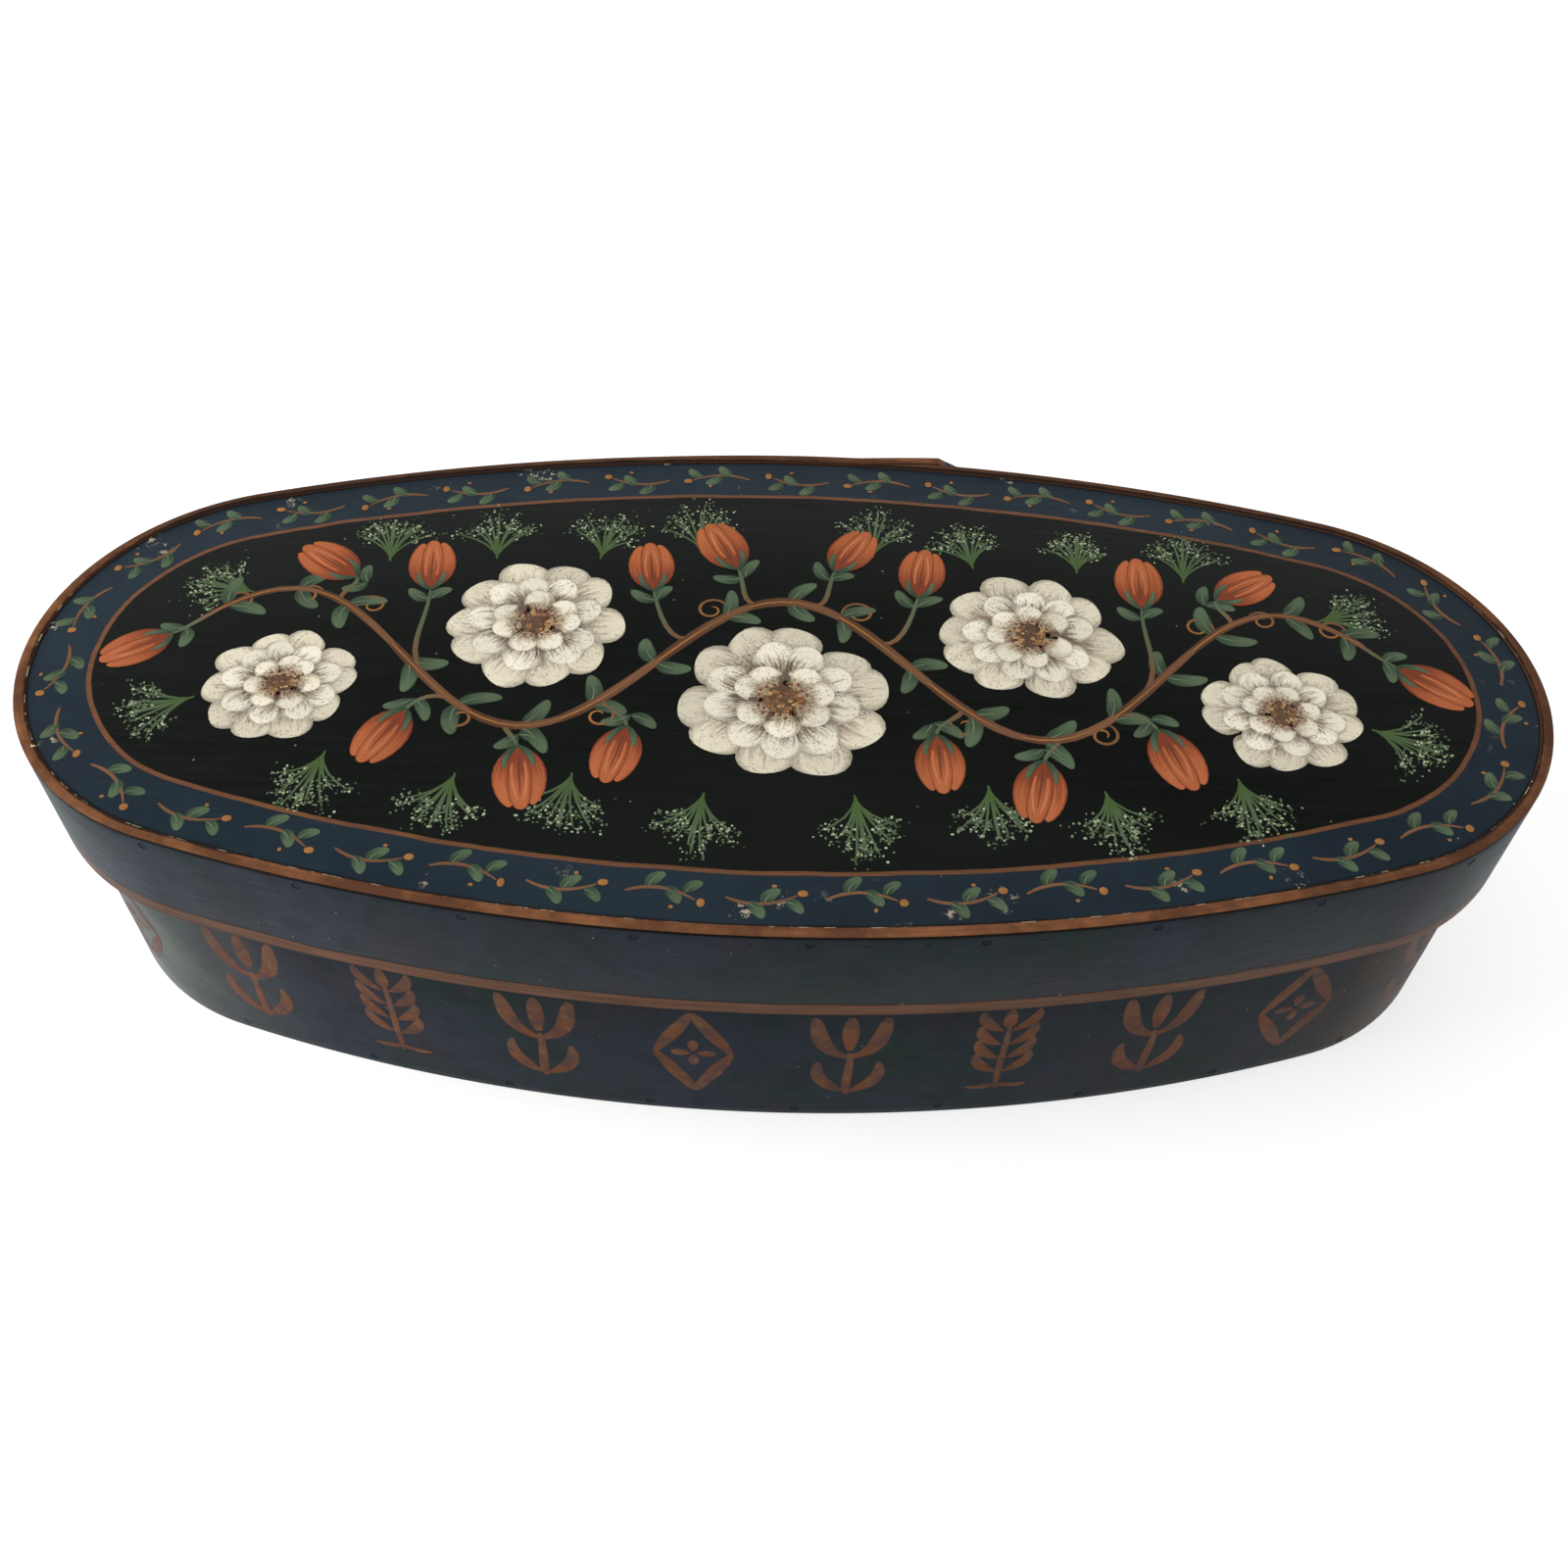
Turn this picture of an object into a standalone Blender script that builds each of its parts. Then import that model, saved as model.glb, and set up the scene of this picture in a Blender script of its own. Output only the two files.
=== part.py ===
"""An oval bentwood box with a lift-off lid, built the way such a box is made.

Each side is one flat strip of thin wood. Fingers are cut in one end, the strip is bent round an
oval form until its ends lap at the back, and tacks hold the lap. An oval board closes each hoop,
held by wooden pegs driven through the strip into the board's edge. The lid's hoop slides down
over the box's hoop, and the lid's board then rests on the box's rim.

Metres, +Z up. The origin is the middle of the bottom board's underside, and +X runs along the
oval. The laps are at the back, at +Y.
"""

import math

import bmesh
import bpy
from mathutils import Matrix, Vector

MM = 0.001

# Sizes of the whole box
LID_LENGTH = 406 * MM
LID_WIDTH = 180 * MM
END_RADIUS = 69 * MM
BOX_HEIGHT = 90 * MM
LID_HEIGHT = 33 * MM

# Stock that the pieces are made from
LID_BAND_THICKNESS = 3.2 * MM
BASE_BAND_THICKNESS = 3.2 * MM
LID_BOARD_THICKNESS = 6.4 * MM
BASE_BOARD_THICKNESS = 6.4 * MM
BOARD_EDGE_ROUNDING = 0.5 * MM

# How the lid fits over the box, and the small gap kept where two pieces meet
LID_CLEARANCE = 1.3 * MM
SEAT_GAP = 0.3 * MM

# The lap where a strip's two ends meet. The finger tips point to +X.
FINGER_TIP_X = 88 * MM
FINGER_LENGTH = 44 * MM
FINGER_TIP_WIDTH = 9 * MM
LID_FINGERS = 1
BASE_FINGERS = 3
ARCH_CURVE_POWER = 1.7
ARCH_POINTS = 10
LAP_LENGTH = 68 * MM
FEATHER_LENGTH = 24 * MM
FEATHER_TIP_THICKNESS = 0.5 * MM
EASE_LENGTH = 70 * MM
BEND_STEP = 7 * MM

# Copper tacks through the lap
TACK_HEAD_RADIUS = 1.8 * MM
TACK_HEAD_HEIGHT = 0.5 * MM
TACK_SHANK_RADIUS = 0.6 * MM
TACK_CLINCH_RADIUS = 1.1 * MM
TACK_CLINCH_HEIGHT = 0.3 * MM
TACK_HOLE_CLEARANCE = 0.15 * MM
TACK_SEAT_GAP = 0.1 * MM
TACK_FROM_TIP = 6 * MM
TACK_FROM_FEATHER = 5 * MM
LID_LAP_TACK_SHARES = (0.32, 0.82)
TACK_SIDES = 10

# Wooden pegs through the strip into the edge of the board
PEGS_A_BOARD = 22
PEG_RADIUS = 1.0 * MM
PEG_POINT_RADIUS = 0.8 * MM
PEG_DEPTH_IN_BOARD = 7 * MM
PEG_HOLE_CLEARANCE = 0.15 * MM
PEG_RECESS = 0.1 * MM
PEG_PAST_LAP = 16 * MM
PEG_BEFORE_TIPS = 13.5 * MM
PEG_SIDES = 8

# How far a cutter runs past the wood that it cuts, and how near two points are the same point
OVERRUN = 2 * MM
SAME_POINT = 0.001 * MM

# Where two faces meet at more than this, the edge between them is shaded sharp
SHARP_ANGLE = math.radians(35)

# Paint and bare wood: base colour, roughness and metallic value
FINISHES = {
    "painted_top": ((0.012, 0.016, 0.017), 0.45, 0.0),
    "painted_band": ((0.052, 0.072, 0.098), 0.55, 0.0),
    "bare_pine": ((0.52, 0.36, 0.20), 0.70, 0.0),
    "peg_wood": ((0.40, 0.26, 0.13), 0.70, 0.0),
    "copper": ((0.42, 0.19, 0.10), 0.40, 1.0),
}


def smooth_step(share):
    """A ramp from 0 to 1 that starts and ends level."""
    share = min(max(share, 0.0), 1.0)
    return share * share * (3 - 2 * share)


class Oval:
    """An oval of four arcs, measured by the distance along it from its +X end, counterclockwise."""

    def __init__(self, half_length, half_width, end_radius):
        reach = half_length - end_radius
        side_radius = (reach**2 + half_width**2 - end_radius**2) / (
            2 * (half_width - end_radius)
        )
        drop = side_radius - half_width
        joint = math.atan2(drop, reach)
        self.arcs = (
            (Vector((reach, 0)), end_radius, 0, joint),
            (Vector((0, -drop)), side_radius, joint, math.pi - joint),
            (Vector((-reach, 0)), end_radius, math.pi - joint, math.pi + joint),
            (Vector((0, drop)), side_radius, math.pi + joint, 2 * math.pi - joint),
            (Vector((reach, 0)), end_radius, 2 * math.pi - joint, 2 * math.pi),
        )
        self.length = sum(radius * (end - start) for _, radius, start, end in self.arcs)

    def frame_at(self, along):
        """The point at that distance along the oval, and the outward direction there."""
        along %= self.length
        for centre, radius, start, end in self.arcs:
            arc_length = radius * (end - start)
            if along <= arc_length:
                break
            along -= arc_length
        angle = start + min(along, arc_length) / radius
        outward = Vector((math.cos(angle), math.sin(angle)))
        return centre + radius * outward, outward

    def top_at_x(self, x):
        """The distance along the oval of the back side's point at that x."""
        _, end_radius, _, joint = self.arcs[0]
        _, side_radius, start, _ = self.arcs[1]
        angle = math.acos(x / side_radius)
        return end_radius * joint + side_radius * (angle - start)


class Hoop:
    """A strip bent round an oval form. A place on it is given as the distance from its finger
    tips, the height above its lower edge, and the offset outwards from the form.

    Where laps_outward is true, the fingers lie over the hoop and stand proud, as on the lid.
    Otherwise the far end is tucked in behind the fingers, so that the outside stays true."""

    def __init__(self, form_offset, thickness, height, fingers, laps_outward):
        self.oval = Oval(
            LID_LENGTH / 2 - form_offset,
            LID_WIDTH / 2 - form_offset,
            END_RADIUS - form_offset,
        )
        self.thickness = thickness
        self.height = height
        self.fingers = fingers
        self.laps_outward = laps_outward
        self.tip = self.oval.top_at_x(FINGER_TIP_X)
        self.turn = self.oval.length
        self.strip_length = self.turn + LAP_LENGTH
        self.finger_pitch = height / fingers

    def thickness_at(self, along):
        """The strip's own thickness, which is planed thin at the far end."""
        left = self.strip_length - along
        share = min(max(left / FEATHER_LENGTH, 0.0), 1.0)
        return FEATHER_TIP_THICKNESS + share * (self.thickness - FEATHER_TIP_THICKNESS)

    def under_lap(self, along):
        """How much room the tucked end takes, under or behind the strip at this place."""
        if along <= LAP_LENGTH:
            return self.thickness_at(along + self.turn) + SEAT_GAP
        past = (along - LAP_LENGTH) / EASE_LENGTH
        return (FEATHER_TIP_THICKNESS + SEAT_GAP) * (1 - smooth_step(past))

    def lift_at(self, along):
        """The offset of the strip's inner face from the form."""
        if self.laps_outward:
            return self.under_lap(along) if along < self.turn else 0.0
        if along >= self.turn:
            return -(SEAT_GAP + self.thickness_at(along))
        room = smooth_step((along - self.turn + EASE_LENGTH) / EASE_LENGTH)
        return -room * (self.thickness + SEAT_GAP)

    def outer_face(self, along):
        return self.lift_at(along) + self.thickness

    def inner_face(self, along):
        """The offset of whatever faces the board at this place."""
        if self.laps_outward:
            return 0.0
        return min(self.lift_at(along), -self.under_lap(along))

    def place(self, along, height, offset):
        """A point in the hoop's own space."""
        point, outward = self.oval.frame_at(self.tip + along)
        point = point + offset * outward
        return Vector((point.x, point.y, height))

    def outward_at(self, along):
        _, outward = self.oval.frame_at(self.tip + along)
        return Vector((outward.x, outward.y, 0))

    def finger_heights(self):
        return [(index + 0.5) * self.finger_pitch for index in range(self.fingers)]

    def peg_places(self):
        """Pegs at even steps round the hoop, from past the lap to just before the finger tips."""
        first = LAP_LENGTH + PEG_PAST_LAP
        last = self.turn - PEG_BEFORE_TIPS
        step = (last - first) / (PEGS_A_BOARD - 1)
        return [first + index * step for index in range(PEGS_A_BOARD)]


def lid_hoop():
    return Hoop(LID_BAND_THICKNESS, LID_BAND_THICKNESS, LID_HEIGHT, LID_FINGERS, True)


def base_hoop():
    outside_to_form = LID_BAND_THICKNESS + LID_CLEARANCE + BASE_BAND_THICKNESS
    rim = BOX_HEIGHT - LID_BOARD_THICKNESS - SEAT_GAP
    return Hoop(outside_to_form, BASE_BAND_THICKNESS, rim, BASE_FINGERS, False)


def clear_scene():
    for obj in list(bpy.data.objects):
        bpy.data.objects.remove(obj)


def new_collection(name):
    collection = bpy.data.collections.new(name)
    bpy.context.scene.collection.children.link(collection)
    return collection


def finish(name):
    """The material of that name, which is made when it is first asked for."""
    if name in bpy.data.materials:
        return bpy.data.materials[name]
    colour, roughness, metallic = FINISHES[name]
    material = bpy.data.materials.new(name)
    material.use_nodes = True
    shader = material.node_tree.nodes["Principled BSDF"]
    shader.inputs["Base Color"].default_value = (*colour, 1.0)
    shader.inputs["Roughness"].default_value = roughness
    shader.inputs["Metallic"].default_value = metallic
    material.diffuse_color = (*colour, 1.0)
    return material


def object_from_bmesh(name, shape, collection):
    mesh = bpy.data.meshes.new(name)
    shape.to_mesh(mesh)
    shape.free()
    obj = bpy.data.objects.new(name, mesh)
    collection.objects.link(obj)
    return obj


def shade(mesh, material):
    mesh.materials.append(finish(material))
    mesh.shade_smooth()
    mesh.set_sharp_from_angle(angle=SHARP_ANGLE)


def hide_as_cutter(obj):
    obj.hide_render = True
    obj.display_type = "WIRE"


def flat_shape(name, points, low, high, collection):
    """A closed outline in X and Y, filled and extruded from height low to height high."""
    curve = bpy.data.curves.new(name, "CURVE")
    curve.dimensions = "2D"
    curve.fill_mode = "BOTH"
    curve.extrude = (high - low) / 2
    spline = curve.splines.new("POLY")
    spline.points.add(len(points) - 1)
    for control, point in zip(spline.points, points):
        control.co = (point[0], point[1], 0, 1)
    spline.use_cyclic_u = True
    drawn = bpy.data.objects.new(name, curve)
    collection.objects.link(drawn)
    drawn.location.z = (low + high) / 2
    return solid_from_curve(drawn, collection)


def solid_from_curve(drawn, collection):
    """The curve's mesh with its caps welded on, in place of the curve."""
    bpy.context.view_layer.update()
    graph = bpy.context.evaluated_depsgraph_get()
    mesh = bpy.data.meshes.new_from_object(drawn.evaluated_get(graph))
    name, matrix = drawn.name, drawn.matrix_world.copy()
    bpy.data.objects.remove(drawn)
    shape = bmesh.new()
    shape.from_mesh(mesh)
    bmesh.ops.remove_doubles(shape, verts=shape.verts, dist=SAME_POINT)
    shape.to_mesh(mesh)
    shape.free()
    obj = bpy.data.objects.new(name, mesh)
    obj.matrix_world = matrix
    collection.objects.link(obj)
    return obj


def add_cut(obj, cutter):
    cut = obj.modifiers.new(cutter.name, "BOOLEAN")
    cut.operation = "DIFFERENCE"
    cut.solver = "EXACT"
    cut.object = cutter


def add_rod(shape, radius, end_radius, start, end, sides):
    """A rod between two points. It may narrow towards its end."""
    direction = end - start
    turn = direction.to_track_quat("Z", "Y").to_matrix().to_4x4()
    bmesh.ops.create_cone(
        shape,
        cap_ends=True,
        segments=sides,
        radius1=radius,
        radius2=end_radius,
        depth=direction.length,
        matrix=Matrix.Translation((start + end) / 2) @ turn,
    )


def arch_outline(hoop):
    """The pointed arch cut between two fingers, with its crown at the fingers' root."""
    half_gap = (hoop.finger_pitch - FINGER_TIP_WIDTH) / 2
    shares = [index / ARCH_POINTS for index in range(ARCH_POINTS + 1)]
    side = [
        (FINGER_LENGTH * share, half_gap * (1 - share**ARCH_CURVE_POWER))
        for share in shares
    ]
    lower = [(x, -y) for x, y in side[:-1]]
    return [(-OVERRUN, -half_gap), *lower, *reversed(side), (-OVERRUN, half_gap)]


def tack_places(hoop, lap_heights):
    """One tack in each finger, and a column of them just short of the planed end."""
    before_feather = LAP_LENGTH - FEATHER_LENGTH - TACK_FROM_FEATHER
    in_fingers = [(TACK_FROM_TIP, height) for height in hoop.finger_heights()]
    return in_fingers + [(before_feather, height) for height in lap_heights]


def flat_strip(name, hoop, tacks, peg_height, collection):
    """The strip before it is bent: X along it, Y across it and Z through its thickness."""
    shape = bmesh.new()
    bmesh.ops.create_cube(shape, size=1)
    size = Vector((hoop.strip_length, hoop.height, hoop.thickness))
    bmesh.ops.scale(shape, vec=size, verts=shape.verts)
    bmesh.ops.translate(shape, vec=size / 2, verts=shape.verts)
    strip = object_from_bmesh(name, shape, collection)

    low, high = -OVERRUN, hoop.thickness + OVERRUN
    cutters = []
    for gap in range(hoop.fingers + 1):
        arch = flat_shape(f"{name}_arch_{gap}", arch_outline(hoop), low, high, collection)
        arch.location.y = gap * hoop.finger_pitch
        cutters.append(arch)

    holes = bmesh.new()
    tack_hole = TACK_SHANK_RADIUS + TACK_HOLE_CLEARANCE
    peg_hole = PEG_RADIUS + PEG_HOLE_CLEARANCE
    drilled = [(along, height, tack_hole, TACK_SIDES) for along, height in tacks]
    drilled += [(along + hoop.turn, height, tack_hole, TACK_SIDES) for along, height in tacks]
    drilled += [(along, peg_height, peg_hole, PEG_SIDES) for along in hoop.peg_places()]
    for along, height, radius, sides in drilled:
        start, end = Vector((along, height, low)), Vector((along, height, high))
        add_rod(holes, radius, radius, start, end, sides)
    cutters.append(object_from_bmesh(f"{name}_holes", holes, collection))

    for cutter in cutters:
        add_cut(strip, cutter)
    return strip, cutters


def bent_band(name, hoop, tacks, peg_height, parts, cutters):
    """The finished hoop: the flat strip is scored at even steps, then wrapped round the form."""
    strip, tools = flat_strip(name + "_flat", hoop, tacks, peg_height, cutters)
    bpy.context.view_layer.update()
    graph = bpy.context.evaluated_depsgraph_get()
    shape = bmesh.new()
    shape.from_mesh(bpy.data.meshes.new_from_object(strip.evaluated_get(graph)))
    for tool in (strip, *tools):
        bpy.data.objects.remove(tool)

    steps = math.ceil(hoop.strip_length / BEND_STEP)
    for index in range(1, steps):
        bmesh.ops.bisect_plane(
            shape,
            geom=[*shape.verts, *shape.edges, *shape.faces],
            dist=SAME_POINT,
            plane_co=(hoop.strip_length * index / steps, 0, 0),
            plane_no=(1, 0, 0),
        )
    for vertex in shape.verts:
        along, height, depth = vertex.co
        through = depth / hoop.thickness * hoop.thickness_at(along)
        vertex.co = hoop.place(along, height, hoop.lift_at(along) + through)
    band = object_from_bmesh(name, shape, parts)
    shade(band.data, "painted_band")
    return band


def oval_board(name, hoop, thickness, parts, cutters):
    """The board that closes a hoop, with blind holes in its edge for the pegs."""
    steps = math.ceil(hoop.turn / BEND_STEP)
    outline = []
    for index in range(steps):
        along = hoop.turn * index / steps
        outline.append(hoop.place(along, 0, hoop.inner_face(along) - SEAT_GAP))
    board = flat_shape(name, outline, 0, thickness, parts)

    rounding = board.modifiers.new("rounded_edges", "BEVEL")
    rounding.width = BOARD_EDGE_ROUNDING
    rounding.segments = 1
    rounding.limit_method = "ANGLE"

    holes = bmesh.new()
    radius = PEG_RADIUS + PEG_HOLE_CLEARANCE
    for along in hoop.peg_places():
        edge = hoop.inner_face(along)
        start = hoop.place(along, 0, edge + OVERRUN)
        end = hoop.place(along, 0, edge - PEG_DEPTH_IN_BOARD - SEAT_GAP)
        add_rod(holes, radius, radius, start, end, PEG_SIDES)
    drills = object_from_bmesh(name + "_holes", holes, cutters)
    hide_as_cutter(drills)
    add_cut(board, drills)
    # The board's origin is at its mid-height, so the drills there come in at the right level.
    drills.parent = board
    return board


def tack_mesh(hoop):
    """A turned tack: a low head, a round shank, and the point beaten flat on the inside."""
    grip = 2 * hoop.thickness + SEAT_GAP
    under_head = TACK_SEAT_GAP
    inside = -grip - TACK_SEAT_GAP
    head_top = under_head + TACK_HEAD_HEIGHT
    head_shoulder = under_head + TACK_HEAD_HEIGHT / 2
    clinch_bottom = inside - TACK_CLINCH_HEIGHT
    profile = [
        (0, head_top),
        (TACK_HEAD_RADIUS / 2, (head_top + head_shoulder) / 2 + TACK_HEAD_HEIGHT / 8),
        (TACK_HEAD_RADIUS, under_head + TACK_HEAD_HEIGHT / 8),
        (TACK_HEAD_RADIUS, under_head),
        (TACK_SHANK_RADIUS, under_head),
        (TACK_SHANK_RADIUS, inside),
        (TACK_CLINCH_RADIUS, inside),
        (TACK_CLINCH_RADIUS, clinch_bottom + TACK_CLINCH_HEIGHT / 3),
        (TACK_CLINCH_RADIUS / 2, clinch_bottom),
        (0, clinch_bottom),
    ]
    mesh = bpy.data.meshes.new("tack")
    points = [(radius, 0, height) for radius, height in profile]
    edges = [(index, index + 1) for index in range(len(points) - 1)]
    mesh.from_pydata(points, edges, [])
    mesh.materials.append(finish("copper"))
    return mesh


def add_tacks(prefix, hoop, places, empty, parts):
    mesh = tack_mesh(hoop)
    for number, (along, height) in enumerate(places, 1):
        tack = bpy.data.objects.new(f"{prefix}_{number}", mesh)
        parts.objects.link(tack)
        tack.parent = empty
        tack.location = hoop.place(along, height, hoop.outer_face(along))
        outward = hoop.outward_at(along)
        tack.rotation_euler = outward.to_track_quat("Z", "Y").to_euler()
        turned = tack.modifiers.new("turned", "SCREW")
        turned.steps = turned.render_steps = TACK_SIDES
        turned.use_merge_vertices = True
        turned.merge_threshold = SAME_POINT


def add_pegs(prefix, hoop, height, empty, parts):
    for number, along in enumerate(hoop.peg_places(), 1):
        outside = hoop.outer_face(along) - PEG_RECESS
        inside = hoop.inner_face(along) - PEG_DEPTH_IN_BOARD
        shape = bmesh.new()
        start = Vector((0, 0, 0))
        end = Vector((0, 0, inside - outside))
        add_rod(shape, PEG_RADIUS, PEG_POINT_RADIUS, start, end, PEG_SIDES)
        peg = object_from_bmesh(f"{prefix}_{number:02d}", shape, parts)
        shade(peg.data, "peg_wood")
        peg.parent = empty
        peg.location = hoop.place(along, height, outside)
        outward = hoop.outward_at(along)
        peg.rotation_euler = outward.to_track_quat("Z", "Y").to_euler()


def new_empty(name, height, parts):
    empty = bpy.data.objects.new(name, None)
    empty.location.z = height
    parts.objects.link(empty)
    return empty


def build_lid(parts, cutters):
    """The lid: its hoop, its board flush with the hoop's upper edge, its tacks and pegs."""
    hoop = lid_hoop()
    lid = new_empty("lid", BOX_HEIGHT - LID_HEIGHT, parts)
    board_low = LID_HEIGHT - LID_BOARD_THICKNESS
    peg_height = board_low + LID_BOARD_THICKNESS / 2
    lap_tacks = [share * board_low for share in LID_LAP_TACK_SHARES]
    tacks = tack_places(hoop, lap_tacks)

    band = bent_band("lid_band", hoop, tacks, peg_height, parts, cutters)
    board = oval_board("lid_board", hoop, LID_BOARD_THICKNESS, parts, cutters)
    shade(board.data, "painted_top")
    band.parent = board.parent = lid
    board.location.z += board_low
    add_tacks("lid_tack", hoop, tacks, lid, parts)
    add_pegs("lid_peg", hoop, peg_height, lid, parts)


def build_base(parts, cutters):
    """The box itself: a taller hoop with its bottom board flush with the lower edge."""
    hoop = base_hoop()
    base = new_empty("base", 0, parts)
    peg_height = BASE_BOARD_THICKNESS / 2
    tacks = tack_places(hoop, hoop.finger_heights())

    band = bent_band("base_band", hoop, tacks, peg_height, parts, cutters)
    board = oval_board("base_board", hoop, BASE_BOARD_THICKNESS, parts, cutters)
    shade(board.data, "bare_pine")
    band.parent = board.parent = base
    add_tacks("base_tack", hoop, tacks, base, parts)
    add_pegs("base_peg", hoop, peg_height, base, parts)


def build():
    clear_scene()
    parts = new_collection("oval_box")
    cutters = new_collection("cutters")
    build_lid(parts, cutters)
    build_base(parts, cutters)


build()
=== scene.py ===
# %% [markdown]
# # A painted oval box
# This is a long oval box of thin bentwood with a lift-off lid. It is painted all over: a dark lid
# with flowers, slate sides, and a rust line along every edge. The CAD model already holds each
# piece at its true size and place. This lesson gives those pieces their surfaces, and adds the
# painting on them.
#
# Every length is in metres, in the same frame as the CAD: +X along the oval, +Y to the back, +Z up.

# %% Load the frame
import math
import random

import bmesh
import bpy
from mathutils import Matrix, Vector


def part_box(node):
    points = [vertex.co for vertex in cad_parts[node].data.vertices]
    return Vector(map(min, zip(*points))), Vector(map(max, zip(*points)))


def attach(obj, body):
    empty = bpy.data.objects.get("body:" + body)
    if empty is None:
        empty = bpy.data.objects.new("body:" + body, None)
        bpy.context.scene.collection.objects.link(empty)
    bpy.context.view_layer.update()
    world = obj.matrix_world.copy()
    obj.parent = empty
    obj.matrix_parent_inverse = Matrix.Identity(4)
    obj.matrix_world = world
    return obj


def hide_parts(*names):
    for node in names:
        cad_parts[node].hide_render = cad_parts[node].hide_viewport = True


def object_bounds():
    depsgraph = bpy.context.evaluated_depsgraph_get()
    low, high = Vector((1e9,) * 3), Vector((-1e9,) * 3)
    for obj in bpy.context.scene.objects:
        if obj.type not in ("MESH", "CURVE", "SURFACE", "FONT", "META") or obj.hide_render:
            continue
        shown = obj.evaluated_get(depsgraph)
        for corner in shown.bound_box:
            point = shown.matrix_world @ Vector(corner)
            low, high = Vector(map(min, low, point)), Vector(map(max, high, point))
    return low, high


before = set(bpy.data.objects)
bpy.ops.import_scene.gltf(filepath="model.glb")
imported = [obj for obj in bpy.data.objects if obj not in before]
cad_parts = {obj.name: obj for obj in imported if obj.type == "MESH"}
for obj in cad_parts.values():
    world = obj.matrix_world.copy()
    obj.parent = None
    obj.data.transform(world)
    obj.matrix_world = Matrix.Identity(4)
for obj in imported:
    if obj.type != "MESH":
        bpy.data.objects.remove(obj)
cad_low, cad_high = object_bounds()
MM = 0.001
print("CAD box in mm:", [round((high - low) / MM, 1) for low, high in zip(cad_low, cad_high)])

# %% [markdown]
# ## The box's sizes
# The heights come from the CAD nodes' own boxes, so they can't drift from the frame. The oval's
# plan isn't readable from a box, so its few sizes are repeated here as a maker would note them.

# %% Sizes
LID_LENGTH = 406 * MM
LID_WIDTH = 180 * MM
END_RADIUS = 69 * MM
BAND_THICKNESS = 3.2 * MM
LID_CLEARANCE = 1.3 * MM
LAYER_GAP = 0.3 * MM

FINGER_TIP_X = 88 * MM
FINGER_LENGTH = 44 * MM
FINGER_TIP_WIDTH = 9 * MM
ARCH_CURVE_POWER = 1.7
ARCH_POINTS = 16
LAP_LENGTH = 68 * MM
FEATHER_LENGTH = 24 * MM
FEATHER_TIP_THICKNESS = 0.5 * MM
EASE_LENGTH = 70 * MM

PEGS_A_BOARD = 22
PEG_RADIUS = 1.0 * MM
PEG_HOLE_CLEARANCE = 0.15 * MM
PEG_PAST_LAP = 16 * MM
PEG_BEFORE_TIPS = 13.5 * MM

BOX_HEIGHT = cad_high.z
LID_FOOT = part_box("lid_band")[0].z
BASE_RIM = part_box("base_band")[1].z
BASE_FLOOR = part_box("base_board")[1].z
LID_BOARD_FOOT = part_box("lid_board")[0].z
LID_HEIGHT = BOX_HEIGHT - LID_FOOT
print("lid from", round(LID_FOOT / MM, 1), "to", round(BOX_HEIGHT / MM, 1), "mm")

# %% [markdown]
# ## The camera
# The photograph was taken from in front and well above, quite close, so the near side looks larger
# than the far side. The camera points at the middle of the box's underside. That point isn't in the
# middle of the picture, and a small lens shift puts it where it belongs without tilting the view.

# %% Camera
PICTURE_PIXELS = 1600
SENSOR_WIDTH_MM = 36
FOCAL_PIXELS = 1565.8
AIM_PIXEL = (794.5, 890.3)
CAMERA_AZIMUTH = math.radians(0.37)
CAMERA_ELEVATION = math.radians(51.72)
CAMERA_ROLL = math.radians(1.36)
CAMERA_DISTANCE = 481 * MM


def place_camera():
    back = Vector((
        math.sin(CAMERA_AZIMUTH) * math.cos(CAMERA_ELEVATION),
        -math.cos(CAMERA_AZIMUTH) * math.cos(CAMERA_ELEVATION),
        math.sin(CAMERA_ELEVATION),
    ))
    level = Vector((math.cos(CAMERA_AZIMUTH), math.sin(CAMERA_AZIMUTH), 0))
    upright = back.cross(level)
    right = level * math.cos(CAMERA_ROLL) + upright * math.sin(CAMERA_ROLL)
    up = back.cross(right)
    data = bpy.data.cameras.new("camera")
    data.sensor_width = SENSOR_WIDTH_MM
    data.lens = FOCAL_PIXELS / PICTURE_PIXELS * SENSOR_WIDTH_MM
    data.shift_x = (PICTURE_PIXELS / 2 - AIM_PIXEL[0]) / PICTURE_PIXELS
    data.shift_y = (AIM_PIXEL[1] - PICTURE_PIXELS / 2) / PICTURE_PIXELS
    data.clip_start = 10 * MM
    camera = bpy.data.objects.new("camera", data)
    bpy.context.scene.collection.objects.link(camera)
    turn = Matrix((right, up, back)).transposed().to_4x4()
    camera.matrix_world = Matrix.Translation(back * CAMERA_DISTANCE) @ turn
    bpy.context.scene.camera = camera
    return camera


camera = place_camera()
print("lens", round(camera.data.lens, 1), "mm, shift", round(camera.data.shift_y, 3))

# %% [markdown]
# ## Helpers for modelling
# An operator works on whatever is selected, and loading leaves the CAD nodes selected. So each new
# piece starts from an empty selection. A modifier that has done its work is applied, which leaves a
# plain mesh.

# %% Selection and modifiers
BEVEL_SEGMENTS = 2
BEVEL_ANGLE = 40
DOUBLES = 0.001 * MM
ROUND_ANGLE = 50


def deselect_all():
    for obj in list(bpy.context.selected_objects):
        obj.select_set(False)


def activate(obj):
    deselect_all()
    obj.select_set(True)
    bpy.context.view_layer.objects.active = obj


def edit_all():
    """Enters edit mode with the whole mesh selected."""
    bpy.ops.object.mode_set(mode="EDIT")
    bpy.ops.mesh.select_all(action="SELECT")


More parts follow.
